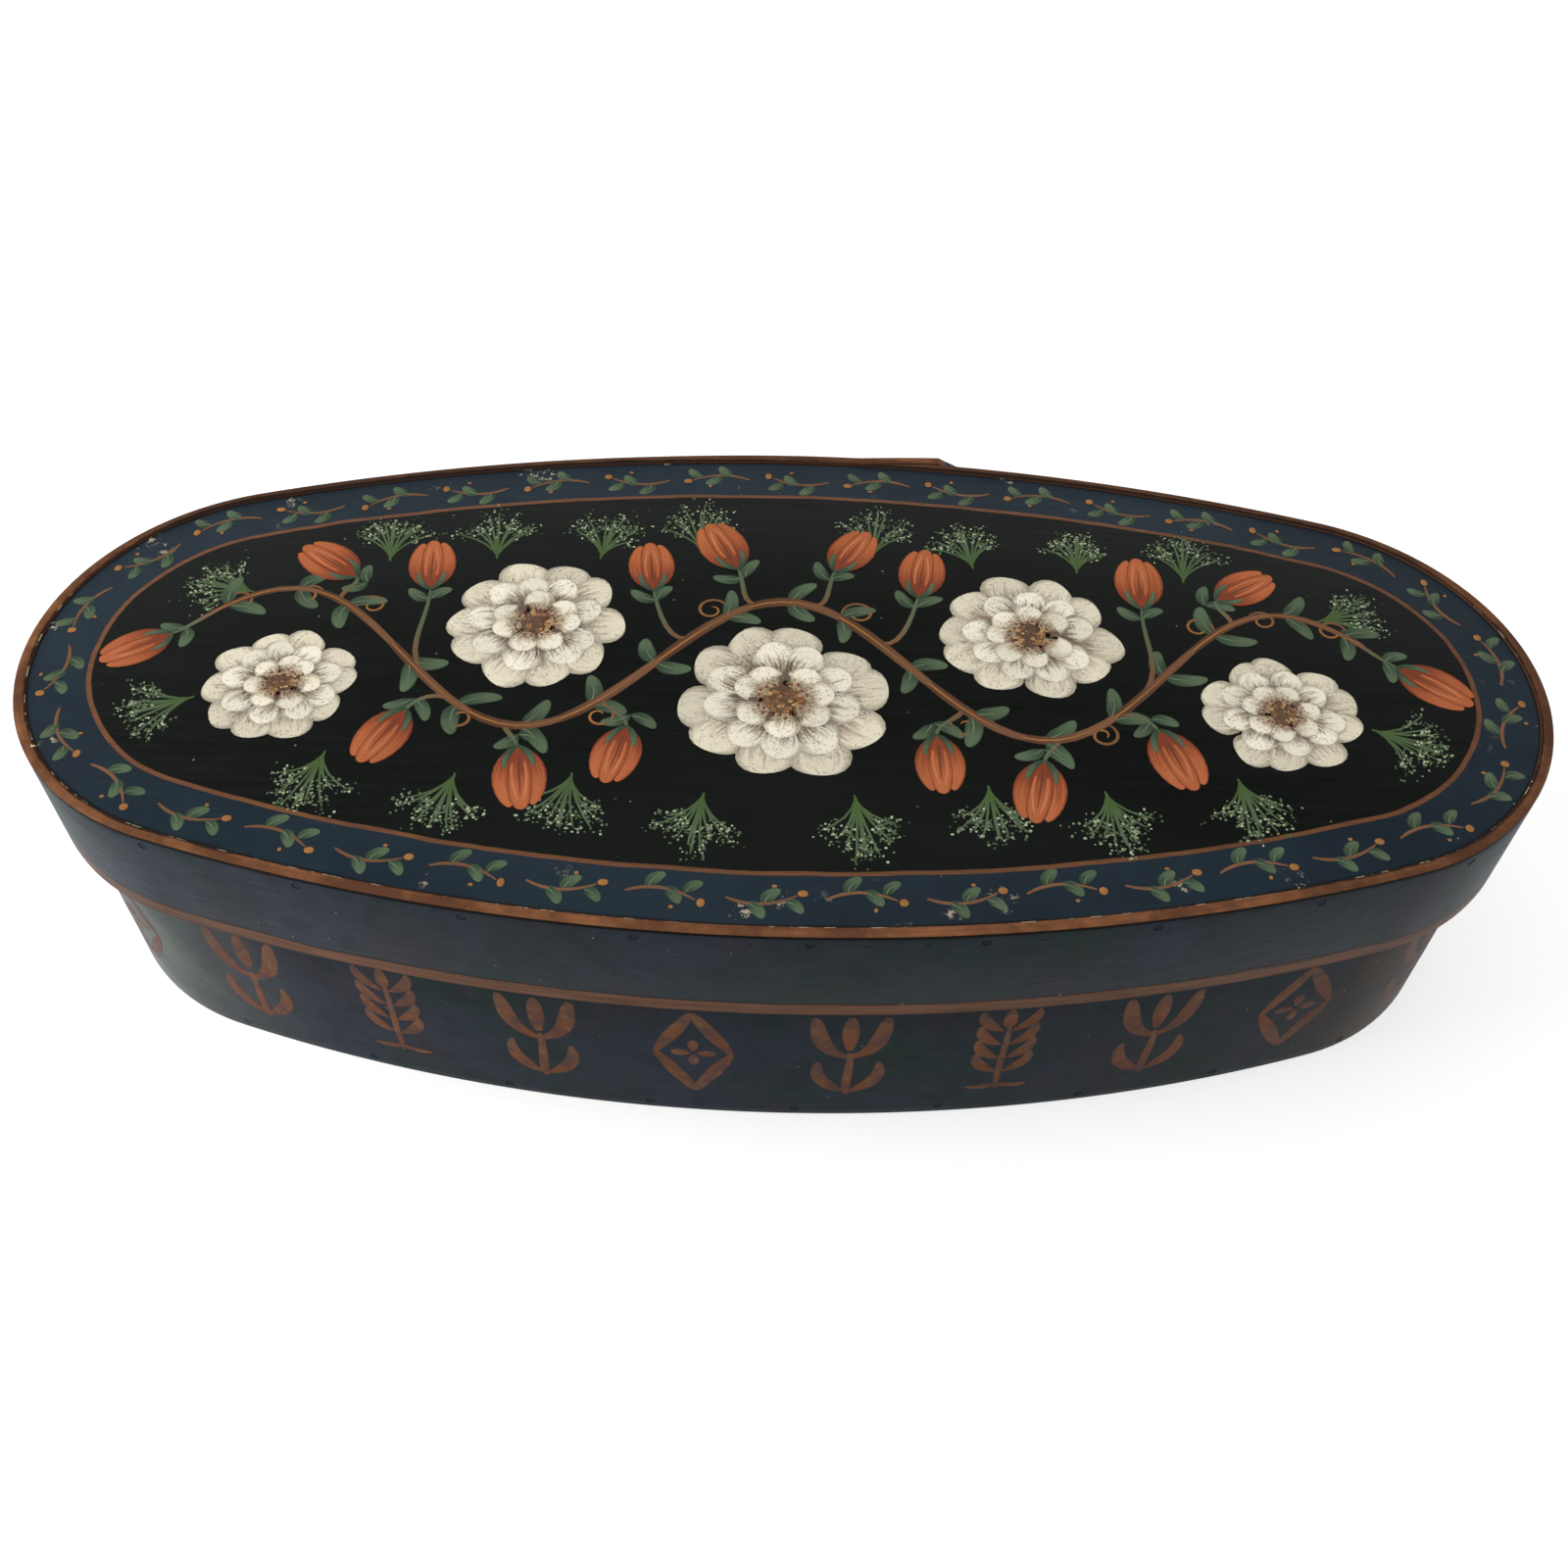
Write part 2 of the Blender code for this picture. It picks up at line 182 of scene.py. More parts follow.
def leave_edit():
    bpy.ops.object.mode_set(mode="OBJECT")


def apply_modifiers(obj):
    activate(obj)
    for modifier in list(obj.modifiers):
        bpy.ops.object.modifier_apply(modifier=modifier.name)


def cut(piece, cutter):
    """Takes the cutter's shape out of the piece, and removes the cutter."""
    modifier = piece.modifiers.new("cut", "BOOLEAN")
    modifier.operation = "DIFFERENCE"
    modifier.object = cutter
    apply_modifiers(piece)
    bpy.data.objects.remove(cutter)


def bevel(piece, width):
    modifier = piece.modifiers.new("bevel", "BEVEL")
    modifier.width = width
    modifier.segments = BEVEL_SEGMENTS
    modifier.limit_method = "ANGLE"
    modifier.angle_limit = math.radians(BEVEL_ANGLE)
    apply_modifiers(piece)


def smooth(piece, angle=35):
    activate(piece)
    bpy.ops.object.shade_smooth_by_angle(angle=math.radians(angle))


def outline_plate(points, low, high):
    """A flat plate with this outline, as a mesh. Its curve is filled, made solid and converted."""
    curve = bpy.data.curves.new("outline", "CURVE")
    curve.dimensions = "2D"
    curve.fill_mode = "BOTH"
    curve.extrude = (high - low) / 2
    spline = curve.splines.new("POLY")
    spline.points.add(len(points) - 1)
    for control, point in zip(spline.points, points):
        control.co = (point[0], point[1], 0, 1)
    spline.use_cyclic_u = True
    plate = bpy.data.objects.new("outline", curve)
    bpy.context.scene.collection.objects.link(plate)
    activate(plate)
    bpy.ops.object.convert(target="MESH")
    plate = bpy.context.object
    edit_all()
    bpy.ops.mesh.remove_doubles(threshold=DOUBLES)
    leave_edit()
    plate.data.transform(Matrix.Translation((0, 0, (low + high) / 2)))
    return plate


# %% [markdown]
# ## The oval and the hoops
# The plan is an oval of four arcs: tight ones at the ends, slack ones along the sides. Arcs have a
# useful habit: an oval drawn a constant distance inside another is again four arcs with the same
# centres. So the lid, the box and both boards nest with an even gap all round.
#
# A hoop is a flat strip wrapped round such an oval. Its two ends lap at the back. A point on it is
# given by its distance along from the finger tips, its height, and its offset outwards.

# %% Oval


class Oval:
    """An oval of four arcs, measured along from its +X end, counterclockwise."""

    def __init__(self, inset):
        half_length, half_width = LID_LENGTH / 2 - inset, LID_WIDTH / 2 - inset
        end_radius = END_RADIUS - inset
        reach = half_length - end_radius
        side_radius = (reach**2 + half_width**2 - end_radius**2) / (2 * (half_width - end_radius))
        drop = side_radius - half_width
        joint = math.atan2(drop, reach)
        self.arcs = (
            (Vector((reach, 0)), end_radius, 0, joint),
            (Vector((0, -drop)), side_radius, joint, math.pi - joint),
            (Vector((-reach, 0)), end_radius, math.pi - joint, math.pi + joint),
            (Vector((0, drop)), side_radius, math.pi + joint, 2 * math.pi - joint),
            (Vector((reach, 0)), end_radius, 2 * math.pi - joint, 2 * math.pi),
        )
        self.reach, self.drop, self.joint = reach, drop, joint
        self.end_radius, self.side_radius = end_radius, side_radius
        self.length = sum(radius * (end - start) for _, radius, start, end in self.arcs)

    def frame_at(self, along):
        """The point that far along, and the outward direction there."""
        along %= self.length
        for centre, radius, start, end in self.arcs:
            arc_length = radius * (end - start)
            if along <= arc_length:
                break
            along -= arc_length
        angle = start + min(along, arc_length) / radius
        outward = Vector((math.cos(angle), math.sin(angle)))
        return centre + radius * outward, outward

    def back_at_x(self, x):
        """How far along the back side's point at that x is."""
        angle = math.acos(x / self.side_radius)
        return self.end_radius * self.joint + self.side_radius * (angle - self.joint)


# %% Hoop


def smooth_step(share):
    share = min(max(share, 0.0), 1.0)
    return share * share * (3 - 2 * share)


class Hoop:
    """A strip bent round an oval form, with its fingers lapped over or its far end tucked in."""

    def __init__(self, inset, foot, height, fingers, laps_outward):
        self.oval = Oval(inset)
        self.foot, self.height, self.fingers = foot, height, fingers
        self.laps_outward = laps_outward
        self.tip = self.oval.back_at_x(FINGER_TIP_X)
        self.turn = self.oval.length
        self.strip_length = self.turn + LAP_LENGTH
        self.finger_pitch = height / fingers

    def thickness_at(self, along):
        share = min(max((self.strip_length - along) / FEATHER_LENGTH, 0.0), 1.0)
        return FEATHER_TIP_THICKNESS + share * (BAND_THICKNESS - FEATHER_TIP_THICKNESS)

    def under_lap(self, along):
        if along <= LAP_LENGTH:
            return self.thickness_at(along + self.turn) + LAYER_GAP
        past = (along - LAP_LENGTH) / EASE_LENGTH
        return (FEATHER_TIP_THICKNESS + LAYER_GAP) * (1 - smooth_step(past))

    def lift_at(self, along):
        if self.laps_outward:
            return self.under_lap(along) if along < self.turn else 0.0
        if along >= self.turn:
            return -(LAYER_GAP + self.thickness_at(along))
        room = smooth_step((along - self.turn + EASE_LENGTH) / EASE_LENGTH)
        return -room * (BAND_THICKNESS + LAYER_GAP)

    def outer_face(self, along):
        return self.lift_at(along) + BAND_THICKNESS

    def inner_face(self, along):
        if self.laps_outward:
            return 0.0
        return min(self.lift_at(along), -self.under_lap(along))

    def place(self, along, height, offset):
        """A point of the hoop in the box's own space."""
        point, outward = self.oval.frame_at(self.tip + along)
        point = point + offset * outward
        return Vector((point.x, point.y, self.foot + height))

    def peg_places(self):
        first = LAP_LENGTH + PEG_PAST_LAP
        step = (self.turn - PEG_BEFORE_TIPS - first) / (PEGS_A_BOARD - 1)
        return [first + index * step for index in range(PEGS_A_BOARD)]


lid_hoop = Hoop(BAND_THICKNESS, LID_FOOT, LID_HEIGHT, 1, True)
base_hoop = Hoop(2 * BAND_THICKNESS + LID_CLEARANCE, 0, BASE_RIM, 3, False)
print("strips", round(lid_hoop.strip_length / MM), "and", round(base_hoop.strip_length / MM), "mm")

# %% [markdown]
# ## Wiring materials
# A material is a graph of nodes. Writing one by hand takes a line for each node and each link, so a
# small class does both: it takes a plain value or another node's output for any input.

# %% Node helper


def pigment(red, green, blue):
    """A colour read off a screen, 0 to 255 a channel, as the linear colour that a shader needs."""
    def linear(value):
        share = value / 255
        return share / 12.92 if share <= 0.04045 else ((share + 0.055) / 1.055) ** 2.4
    return (linear(red), linear(green), linear(blue), 1.0)


class Wiring:
    def __init__(self, tree):
        self.tree = tree

    def feed(self, socket, value):
        if isinstance(value, bpy.types.NodeSocket):
            self.tree.links.new(value, socket)
        else:
            socket.default_value = value

    def put(self, kind, inputs=None, **settings):
        node = self.tree.nodes.new(kind)
        for setting, value in settings.items():
            setattr(node, setting, value)
        for socket, value in (inputs or {}).items():
            self.feed(node.inputs[socket], value)
        return node

    def math(self, operation, *values):
        node = self.put("ShaderNodeMath", operation=operation)
        for socket, value in zip(node.inputs, values):
            self.feed(socket, value)
        return node.outputs[0]

    def plus(self, first, second):
        return self.math("ADD", first, second)

    def minus(self, first, second):
        return self.math("SUBTRACT", first, second)

    def times(self, first, second):
        return self.math("MULTIPLY", first, second)

    def size(self, value):
        return self.math("ABSOLUTE", value)

    def larger(self, first, second):
        return self.math("MAXIMUM", first, second)

    def reach(self, x, y):
        """How far the point x, y is from the origin."""
        squares = self.plus(self.math("POWER", x, 2.0), self.math("POWER", y, 2.0))
        return self.math("SQRT", squares)

    def mix(self, share, first, second):
        inputs = {0: share, 6: first, 7: second}
        return self.put("ShaderNodeMix", inputs, data_type="RGBA").outputs[2]

    def ease(self, value, low, high, start=0.0, end=1.0):
        """Smoothly from start, where the value is low, to end, where it is high."""
        inputs = {"Value": value, "From Min": low, "From Max": high, "To Min": start, "To Max": end}
        node = self.put("ShaderNodeMapRange", inputs, interpolation_type="SMOOTHSTEP")
        return node.outputs[0]

    def noise(self, vector, scale, detail=2.0, roughness=0.5, distortion=0.0):
        inputs = {
            "Vector": vector, "Scale": scale, "Detail": detail,
            "Roughness": roughness, "Distortion": distortion,
        }
        return self.put("ShaderNodeTexNoise", inputs).outputs["Fac"]

    def cells(self, vector, scale, feature="F1"):
        node = self.put("ShaderNodeTexVoronoi", {"Vector": vector, "Scale": scale}, feature=feature)
        return node.outputs["Distance"]

    def stretch(self, vector, scale, turn=(0, 0, 0), shift=(0, 0, 0)):
        inputs = {"Vector": vector, "Scale": scale, "Rotation": turn, "Location": shift}
        return self.put("ShaderNodeMapping", inputs).outputs[0]

    def split(self, vector):
        return self.put("ShaderNodeSeparateXYZ", {0: vector}).outputs

    def join(self, x, y, z=0.0):
        return self.put("ShaderNodeCombineXYZ", {0: x, 1: y, 2: z}).outputs[0]

    def own_space(self):
        return self.put("ShaderNodeTexCoord").outputs["Object"]

    def uv(self, name):
        return self.put("ShaderNodeUVMap", uv_map=name).outputs[0]

    def carried(self, name):
        """A value that each point of the mesh carries."""
        return self.put("ShaderNodeAttribute", attribute_name=name).outputs

    def use(self, group, inputs):
        node = self.put("ShaderNodeGroup")
        node.node_tree = group
        for socket, value in inputs.items():
            self.feed(node.inputs[socket], value)
        return node.outputs

    def bump(self, height, depth):
        """Relief from a height of 0 to 1, this many metres deep."""
        return self.put("ShaderNodeBump", {"Height": height, "Distance": depth}).outputs[0]


def new_material(name, roughness=0.5, sheen=0.5):
    material = bpy.data.materials.new(name)
    material.use_nodes = True
    shader = material.node_tree.nodes["Principled BSDF"]
    shader.inputs["Roughness"].default_value = roughness
    shader.inputs["Specular IOR Level"].default_value = sheen
    return material, Wiring(material.node_tree), shader


def lay_on(wire, shader, colour, relief, depth, roughness=None):
    """Feeds a finish to its shader: a colour, a relief this deep, and roughness where it varies."""
    wire.feed(shader.inputs["Base Color"], colour)
    wire.feed(shader.inputs["Normal"], wire.bump(relief, depth))
    if roughness:
        wire.feed(shader.inputs["Roughness"], roughness)


def new_group(name, inputs, outputs):
    """A shader node group with float, vector or colour sockets, and its two end nodes."""
    group = bpy.data.node_groups.new(name, "ShaderNodeTree")
    for socket, kind in inputs.items():
        group.interface.new_socket(socket, in_out="INPUT", socket_type="NodeSocket" + kind)
    for socket, kind in outputs.items():
        group.interface.new_socket(socket, in_out="OUTPUT", socket_type="NodeSocket" + kind)
    wiring = Wiring(group)
    return group, wiring, wiring.put("NodeGroupInput").outputs, wiring.put("NodeGroupOutput")


# %% [markdown]
# ## Shared effects
# Five effects turn up in more than one finish, so each is a node group, built once:
# brush marks, cloudy colour, chips and scratches, the distance in from the lid's edge, and the
# grain of bare wood. Each takes positions in metres and gives back masks or colours.

# %% Brush marks


def build_brush_marks():
    group, wire, given, out = new_group(
        "brush_marks",
        {"Vector": "Vector", "Bristles per metre": "Float", "Length": "Float"},
        {"Streaks": "Float", "Ridges": "Float"},
    )
    along, across, up = wire.split(given["Vector"])[:3]
    short = wire.math("DIVIDE", along, given["Length"])
    vector = wire.join(short, across, up)
    streaks = wire.noise(vector, given["Bristles per metre"], 4.0, 0.62)
    wide = wire.noise(vector, wire.times(given["Bristles per metre"], 0.22), 2.0, 0.5)
    blend = wire.plus(wire.times(streaks, 0.65), wire.times(wide, 0.35))
    wire.feed(out.inputs["Streaks"], wire.ease(blend, 0.36, 0.64))
    wire.feed(out.inputs["Ridges"], streaks)
    return group


def brushed(wire, vector, bristles, length):
    """The streaks and the ridges of a brush that was drawn along X."""
    inputs = {"Vector": vector, "Bristles per metre": bristles, "Length": length}
    return wire.use(brush_marks, inputs)[:2]


brush_marks = build_brush_marks()
print("group:", brush_marks.name)

# %% Cloudy colour


def build_clouding():
    group, wire, given, out = new_group(
        "clouding",
        {"Vector": "Vector", "Clouds per metre": "Float", "Thin": "Color", "Thick": "Color"},
        {"Color": "Color"},
    )
    slow = wire.noise(given["Vector"], given["Clouds per metre"], 3.0, 0.55, 0.3)
    quick = wire.noise(given["Vector"], wire.times(given["Clouds per metre"], 7.0), 4.0, 0.6)
    both = wire.plus(wire.times(slow, 0.72), wire.times(quick, 0.28))
    cloud = wire.ease(both, 0.38, 0.62)
    wire.feed(out.inputs["Color"], wire.mix(cloud, given["Thin"], given["Thick"]))
    return group


def clouded(wire, vector, clouds, thin, thick):
    inputs = {"Vector": vector, "Clouds per metre": clouds, "Thin": thin, "Thick": thick}
    return wire.use(clouding, inputs)["Color"]


clouding = build_clouding()
print("group:", clouding.name)

# %% Chips and scratches


def build_wear():
    group, wire, given, out = new_group(
        "wear",
        {"Vector": "Vector", "Chips": "Float", "Scratches": "Float"},
        {"Chip": "Float", "Scratch": "Float", "Speck": "Float"},
    )
    vector = given["Vector"]
    spots = wire.noise(vector, 420.0, 2.0, 0.45)
    patches = wire.noise(vector, 38.0, 2.0, 0.5)
    crowd = wire.plus(wire.times(spots, 0.7), wire.times(patches, 0.3))
    limit = wire.minus(0.80, wire.times(given["Chips"], 0.22))
    chip = wire.ease(crowd, limit, wire.plus(limit, 0.02))

    lines = []
    for turn, scale in ((0.5, 30.0), (-0.9, 24.0), (1.35, 34.0)):
        turned = wire.stretch(vector, (0.07, 1.0, 1.0), turn=(0, 0, turn))
        wander = wire.noise(turned, scale, 1.0, 0.4, 0.2)
        line = wire.size(wire.minus(wander, 0.5))
        present = wire.ease(wire.noise(turned, scale * 0.31, 1.0), 0.60, 0.66)
        lines.append(wire.times(wire.ease(line, 0.0, 0.006, 1.0, 0.0), present))
    scratch = wire.larger(wire.larger(lines[0], lines[1]), lines[2])
    speck = wire.ease(wire.cells(vector, 260.0), 0.055, 0.085, 1.0, 0.0)
    rare = wire.ease(wire.noise(vector, 110.0, 1.0), 0.60, 0.66)
    wire.feed(out.inputs["Chip"], chip)
    wire.feed(out.inputs["Scratch"], wire.times(scratch, given["Scratches"]))
    wire.feed(out.inputs["Speck"], wire.times(speck, rare))
    return group


def worn(wire, own, colour, chips, scratches, scratch_share, scratch_colour, specks=0.0):
    """The colour with its scratches and specks, and a mask of the chips, which go on last."""
    inputs = {"Vector": own, "Chips": chips, "Scratches": scratches}
    chip, scratch, speck = wire.use(wear, inputs)[:3]
    colour = wire.mix(wire.times(scratch, scratch_share), colour, scratch_colour)
    if specks:
        colour = wire.mix(wire.times(speck, specks), colour, PRIMER)
    return colour, chip


wear = build_wear()
print("group:", wear.name)

# %% Distance in from the lid's edge


def build_edge_distance():
    """Near an end it measures to the end's arc, and elsewhere to the side's arc."""
    group, wire, given, out = new_group(
        "edge_distance", {"Vector": "Vector"}, {"Distance": "Float"}
    )
    rim = Oval(0)
    x, y = wire.split(given["Vector"])[:2]
    x, y = wire.size(x), wire.size(y)
    past_end = wire.minus(x, rim.reach)
    from_end = wire.reach(past_end, y)
    to_end = wire.minus(rim.end_radius, from_end)
    lowered = wire.plus(y, rim.drop)
    from_side = wire.reach(x, lowered)
    to_side = wire.minus(rim.side_radius, from_side)
    # The line from the side arc's centre through the end arc's centre parts the two regions.
    beyond = wire.minus(
        wire.times(x, math.sin(rim.joint)), wire.times(lowered, math.cos(rim.joint))
    )
    near_end = wire.math("GREATER_THAN", beyond, 0.0)
    mixed = wire.put("ShaderNodeMix", {0: near_end, 2: to_side, 3: to_end}, data_type="FLOAT")
    wire.feed(out.inputs["Distance"], mixed.outputs[0])
    return group


edge_distance = build_edge_distance()
print("group:", edge_distance.name)

# %% Grain of bare wood


def build_bare_wood():
    """Wood whose grain runs along X of the given vector."""
    group, wire, given, out = new_group(
        "bare_wood",
        {"Vector": "Vector", "Light": "Color", "Dark": "Color", "Rings per metre": "Float"},
        {"Color": "Color", "Pores": "Float"},
    )
    long = wire.stretch(given["Vector"], (0.05, 1.0, 1.0))
    drift = wire.noise(long, given["Rings per metre"], 3.0, 0.55, 0.8)
    rings = wire.math("FRACT", wire.times(drift, 7.0))
    late_wood = wire.math("POWER", rings, 2.2)
    fibre = wire.noise(wire.stretch(given["Vector"], (0.02, 1.0, 1.0)), 1800.0, 3.0, 0.6)
    age = wire.noise(given["Vector"], 14.0, 3.0, 0.6)
    share = wire.plus(wire.times(late_wood, 0.55), wire.times(fibre, 0.45))
    grain = wire.mix(wire.ease(share, 0.15, 0.95), given["Light"], given["Dark"])
    dark = wire.mix(0.35, given["Dark"], (0.03, 0.02, 0.012, 1.0))
    wire.feed(out.inputs["Color"], wire.mix(wire.ease(age, 0.52, 0.78, 0.0, 0.6), grain, dark))
    wire.feed(out.inputs["Pores"], fibre)
    return group


bare_wood = build_bare_wood()
print("group:", bare_wood.name)

# %% [markdown]
# ## The colours
# The palette is short: near-black and navy on the lid, slate on the sides, and rust browns for the
# lines. They are noted as they look on a screen, and turned into a shader's linear values.

# %% Palette
PAINT_SHEEN = 0.05
BLACK = pigment(12, 16, 11)
WARM_BLACK = pigment(9, 11, 7)
NAVY = pigment(31, 43, 52)
DEEP_NAVY = pigment(25, 36, 44)
SLATE = pigment(51, 58, 72)
TEAL_SLATE = pigment(40, 54, 53)
PLUM_SLATE = pigment(55, 54, 62)
DEEP_SLATE = pigment(34, 42, 48)
PALE_SHEEN = pigment(118, 123, 117)
END_BROWN = pigment(92, 76, 62)
RUST = pigment(116, 76, 50)
LIGHT_RUST = pigment(134, 92, 66)
RIM_RUST = pigment(139, 91, 59)
DARK_RUST = pigment(88, 56, 38)
LINE_BLACK = pigment(18, 14, 11)
PRIMER = pigment(205, 190, 160)
DARK_LINE = pigment(46, 30, 22)
DEEP_LINE = pigment(20, 18, 17)
OLD_WOOD_LIGHT = pigment(196, 160, 112)
OLD_WOOD_DARK = pigment(150, 108, 66)
print("rust in linear light:", [round(value, 3) for value in RUST[:3]])

# %% [markdown]
# ## Paint on the bands
# The strips carry a flat map made before bending: its first coordinate runs along the strip and its
# second across it, both in metres. So a line that follows an edge is just a height on that map, and
# a little noise along it gives the slow wobble of a line drawn by hand.

# %% Band paint
BOTTOM_LINE_HEIGHT = 4.6 * MM
DARK_LINE_WIDTH = 0.8 * MM
TOP_LINE_DEPTH = 1.1 * MM
LINE_WOBBLE = 0.9 * MM
BRAD_MARK_RADIUS = 0.9 * MM
BRADS_BETWEEN_PEGS = 3
MARKS_APPEAR = (-20 * MM, 15 * MM)
MARKS_FADE = (105 * MM, 130 * MM)
PALE_END = (-180 * MM, -120 * MM)
BROWN_END = (130 * MM, 172 * MM)
FRONT_TO_MIDDLE = (-55 * MM, 5 * MM)
LID_ENDS = (125 * MM, 185 * MM)
PEG_LEVEL = (BOX_HEIGHT - LID_BOARD_FOOT) / 2


def wobbling_height(wire, vector, height, wobble, seed):
    """That height on the map, drawn by an unsteady hand."""
    shifted = wire.stretch(vector, (1.0, 0.0, 0.0), shift=(seed, seed, seed))
    slow = wire.minus(wire.noise(shifted, 34.0, 3.0, 0.55), 0.5)
    return wire.plus(height, wire.times(slow, 2 * wobble))


def shown_marks(wire, own):
    """How far the marks show through: clearly right of the middle, and faintly elsewhere."""
    x = wire.split(own)[0]
    left = wire.ease(x, *MARKS_APPEAR, 0.2, 1.0)
    return wire.math("MINIMUM", left, wire.ease(x, *MARKS_FADE, 1.0, 0.2))


def brad_marks(wire, vector, hoop):
    """Small dents in the paint, at even steps between the pegs. Some hardly show."""
    along, up = wire.split(vector)[:2]
    places = hoop.peg_places()
    pitch = (places[1] - places[0]) / BRADS_BETWEEN_PEGS
    steps = wire.math("DIVIDE", wire.minus(along, places[0]), pitch)
    nearest = wire.math("ROUND", steps)
    sideways = wire.times(wire.minus(steps, nearest), pitch * 0.75)
    upwards = wire.minus(up, hoop.height - PEG_LEVEL)
    away = wire.reach(sideways, upwards)
    dent = wire.ease(away, BRAD_MARK_RADIUS * 0.35, BRAD_MARK_RADIUS, 1.0, 0.0)
    strength = wire.ease(wire.noise(wire.join(nearest, 3.1), 0.37, 0.0), 0.35, 0.6, 0.15, 0.9)
    return wire.times(dent, strength)


def slate_ground(wire, own):
    """Dark slate in soft patches that lean to blue, green or plum."""
    colour = clouded(wire, own, 24.0, SLATE, TEAL_SLATE)
    elsewhere = wire.stretch(own, (1.0, 1.0, 1.0), shift=(0.3, 0.7, 0.1))
    plum = wire.ease(wire.noise(elsewhere, 36.0, 3.0, 0.55), 0.50, 0.62, 0.0, 0.75)
    deep = wire.ease(wire.noise(elsewhere, 95.0, 4.0, 0.65), 0.44, 0.66, 0.0, 0.55)
    return wire.mix(deep, wire.mix(plum, colour, PLUM_SLATE), DEEP_SLATE)


def sheen_and_brown_ends(wire, own, colour):
    """A painted sheen lightens the left end to a pale grey, most on the front, and the right end
    turns browner.
    """
    x, y = wire.split(own)[:2]
    uneven = wire.ease(wire.noise(own, 55.0, 3.0, 0.6), 0.35, 0.65, 0.6, 1.0)
    in_front = wire.ease(y, *FRONT_TO_MIDDLE, 1.0, 0.35)
    # Painted sheen: the left end is lightened, as if lit from the left.
    pale = wire.times(wire.ease(x, *PALE_END, 0.66, 0.0), uneven)
    pale = wire.times(pale, in_front)
    brown = wire.times(wire.ease(x, *BROWN_END, 0.0, 0.55), uneven)
    return wire.mix(brown, wire.mix(pale, colour, PALE_SHEEN), END_BROWN)


def faded_ends(wire, own):
    """Hands lift the lid by its two ends, and the line there has faded."""
    x = wire.size(wire.split(own)[0])
    uneven = wire.ease(wire.noise(own, 80.0, 3.0, 0.6), 0.35, 0.65, 0.7, 1.0)
    return wire.times(wire.ease(x, *LID_ENDS, 0.0, 0.5), uneven)


def line_nicks(wire, flat):
    """Short nicks across the line along the lid's lower edge, with pale primer in them."""
    along, up = wire.split(flat)[:2]
    near = wire.cells(wire.join(along, wire.times(up, 0.25)), 85.0)
    some = wire.ease(wire.noise(wire.join(along, 2.0), 60.0, 1.0), 0.50, 0.56)
    return wire.times(wire.ease(near, 0.020, 0.045, 0.75, 0.0), some)


def band_paint(name, hoop, is_lid):
    material, wire, shader = new_material(name, roughness=0.5, sheen=PAINT_SHEEN)
    flat = wire.uv("strip")
    up = wire.split(flat)[1]
    own = wire.own_space()
    streaks, ridges = brushed(wire, flat, 1500.0, 26.0)
    colour = slate_ground(wire, own)
    colour = wire.mix(wire.times(streaks, 0.12), colour, DEEP_NAVY)

    if is_lid:
        edge = wobbling_height(wire, flat, BOTTOM_LINE_HEIGHT, LINE_WOBBLE, 3.0)
        beyond = wire.minus(up, edge)
        rust = wire.mix(wire.times(streaks, 0.8), LIGHT_RUST, DARK_RUST)
        rust = wire.mix(line_nicks(wire, flat), rust, PRIMER)
        rust = wire.mix(faded_ends(wire, own), rust, DEEP_SLATE)
        dark = wire.ease(beyond, DARK_LINE_WIDTH * 0.7, DARK_LINE_WIDTH * 1.4, 0.95, 0.0)
        colour = wire.mix(dark, colour, DARK_LINE)
        colour = wire.mix(wire.ease(beyond, -0.15 * MM, 0.1 * MM, 1.0, 0.0), colour, rust)
        # A painted shadow: the lowest strip of the lid's side is darkened along its lower edge.
        colour = wire.mix(wire.ease(up, 0.3 * MM, 0.9 * MM, 0.85, 0.0), colour, DARK_LINE)
        edge = wobbling_height(wire, flat, hoop.height - TOP_LINE_DEPTH, LINE_WOBBLE * 0.5, 8.0)
        above = wire.ease(wire.minus(up, edge), -0.1 * MM, 0.1 * MM)
        colour = wire.mix(above, colour, LINE_BLACK)
        marks = wire.times(brad_marks(wire, flat, hoop), shown_marks(wire, own))
        colour = wire.mix(wire.times(marks, 0.75), colour, LINE_BLACK)
        relief = wire.minus(ridges, wire.times(marks, 2.5))
    else:
        # The base's side gets a painted sheen at its left end, and turns browner at its right.
        colour = sheen_and_brown_ends(wire, own, colour)
        relief = ridges
    colour, chip = worn(wire, own, colour, 0.12, 0.5, 0.25, SLATE, 0.5)
    colour = wire.mix(chip, colour, PRIMER)
    lay_on(wire, shader, colour, relief, 0.05 * MM, wire.ease(ridges, 0.3, 0.7, 0.38, 0.5))
    return material


lid_paint = band_paint("lid_band_paint", lid_hoop, True)
base_paint = band_paint("base_band_paint", base_hoop, False)
print("paint:", lid_paint.name, base_paint.name)

# %% [markdown]
# The upper edge of each strip is painted rust. It is the edge that hands and tables touch, so along
# its inner corner the paint has chipped, and a pale primer shows in short broken lines.

# %% Rust edge and worn corner
HAND_WOBBLE = 1.6 * MM
RIM_PAINTED_TO = 3.05 * MM
STRAYS_FURTHER = 1.2 * MM
TOWARDS_BACK = (20 * MM, 65 * MM)
TOWARDS_ENDS = (100 * MM, 150 * MM)
SHADED_RIGHT_END = (110 * MM, 170 * MM)


def distances(wire, own, scale, roughness):
    """The distance in from the lid's edge, and the same as an unsteady hand draws it."""
    distance = wire.use(edge_distance, {"Vector": own})["Distance"]
    hand = wire.minus(wire.noise(own, scale, 3.0, roughness), 0.5)
    return distance, wire.plus(distance, wire.times(hand, HAND_WOBBLE))


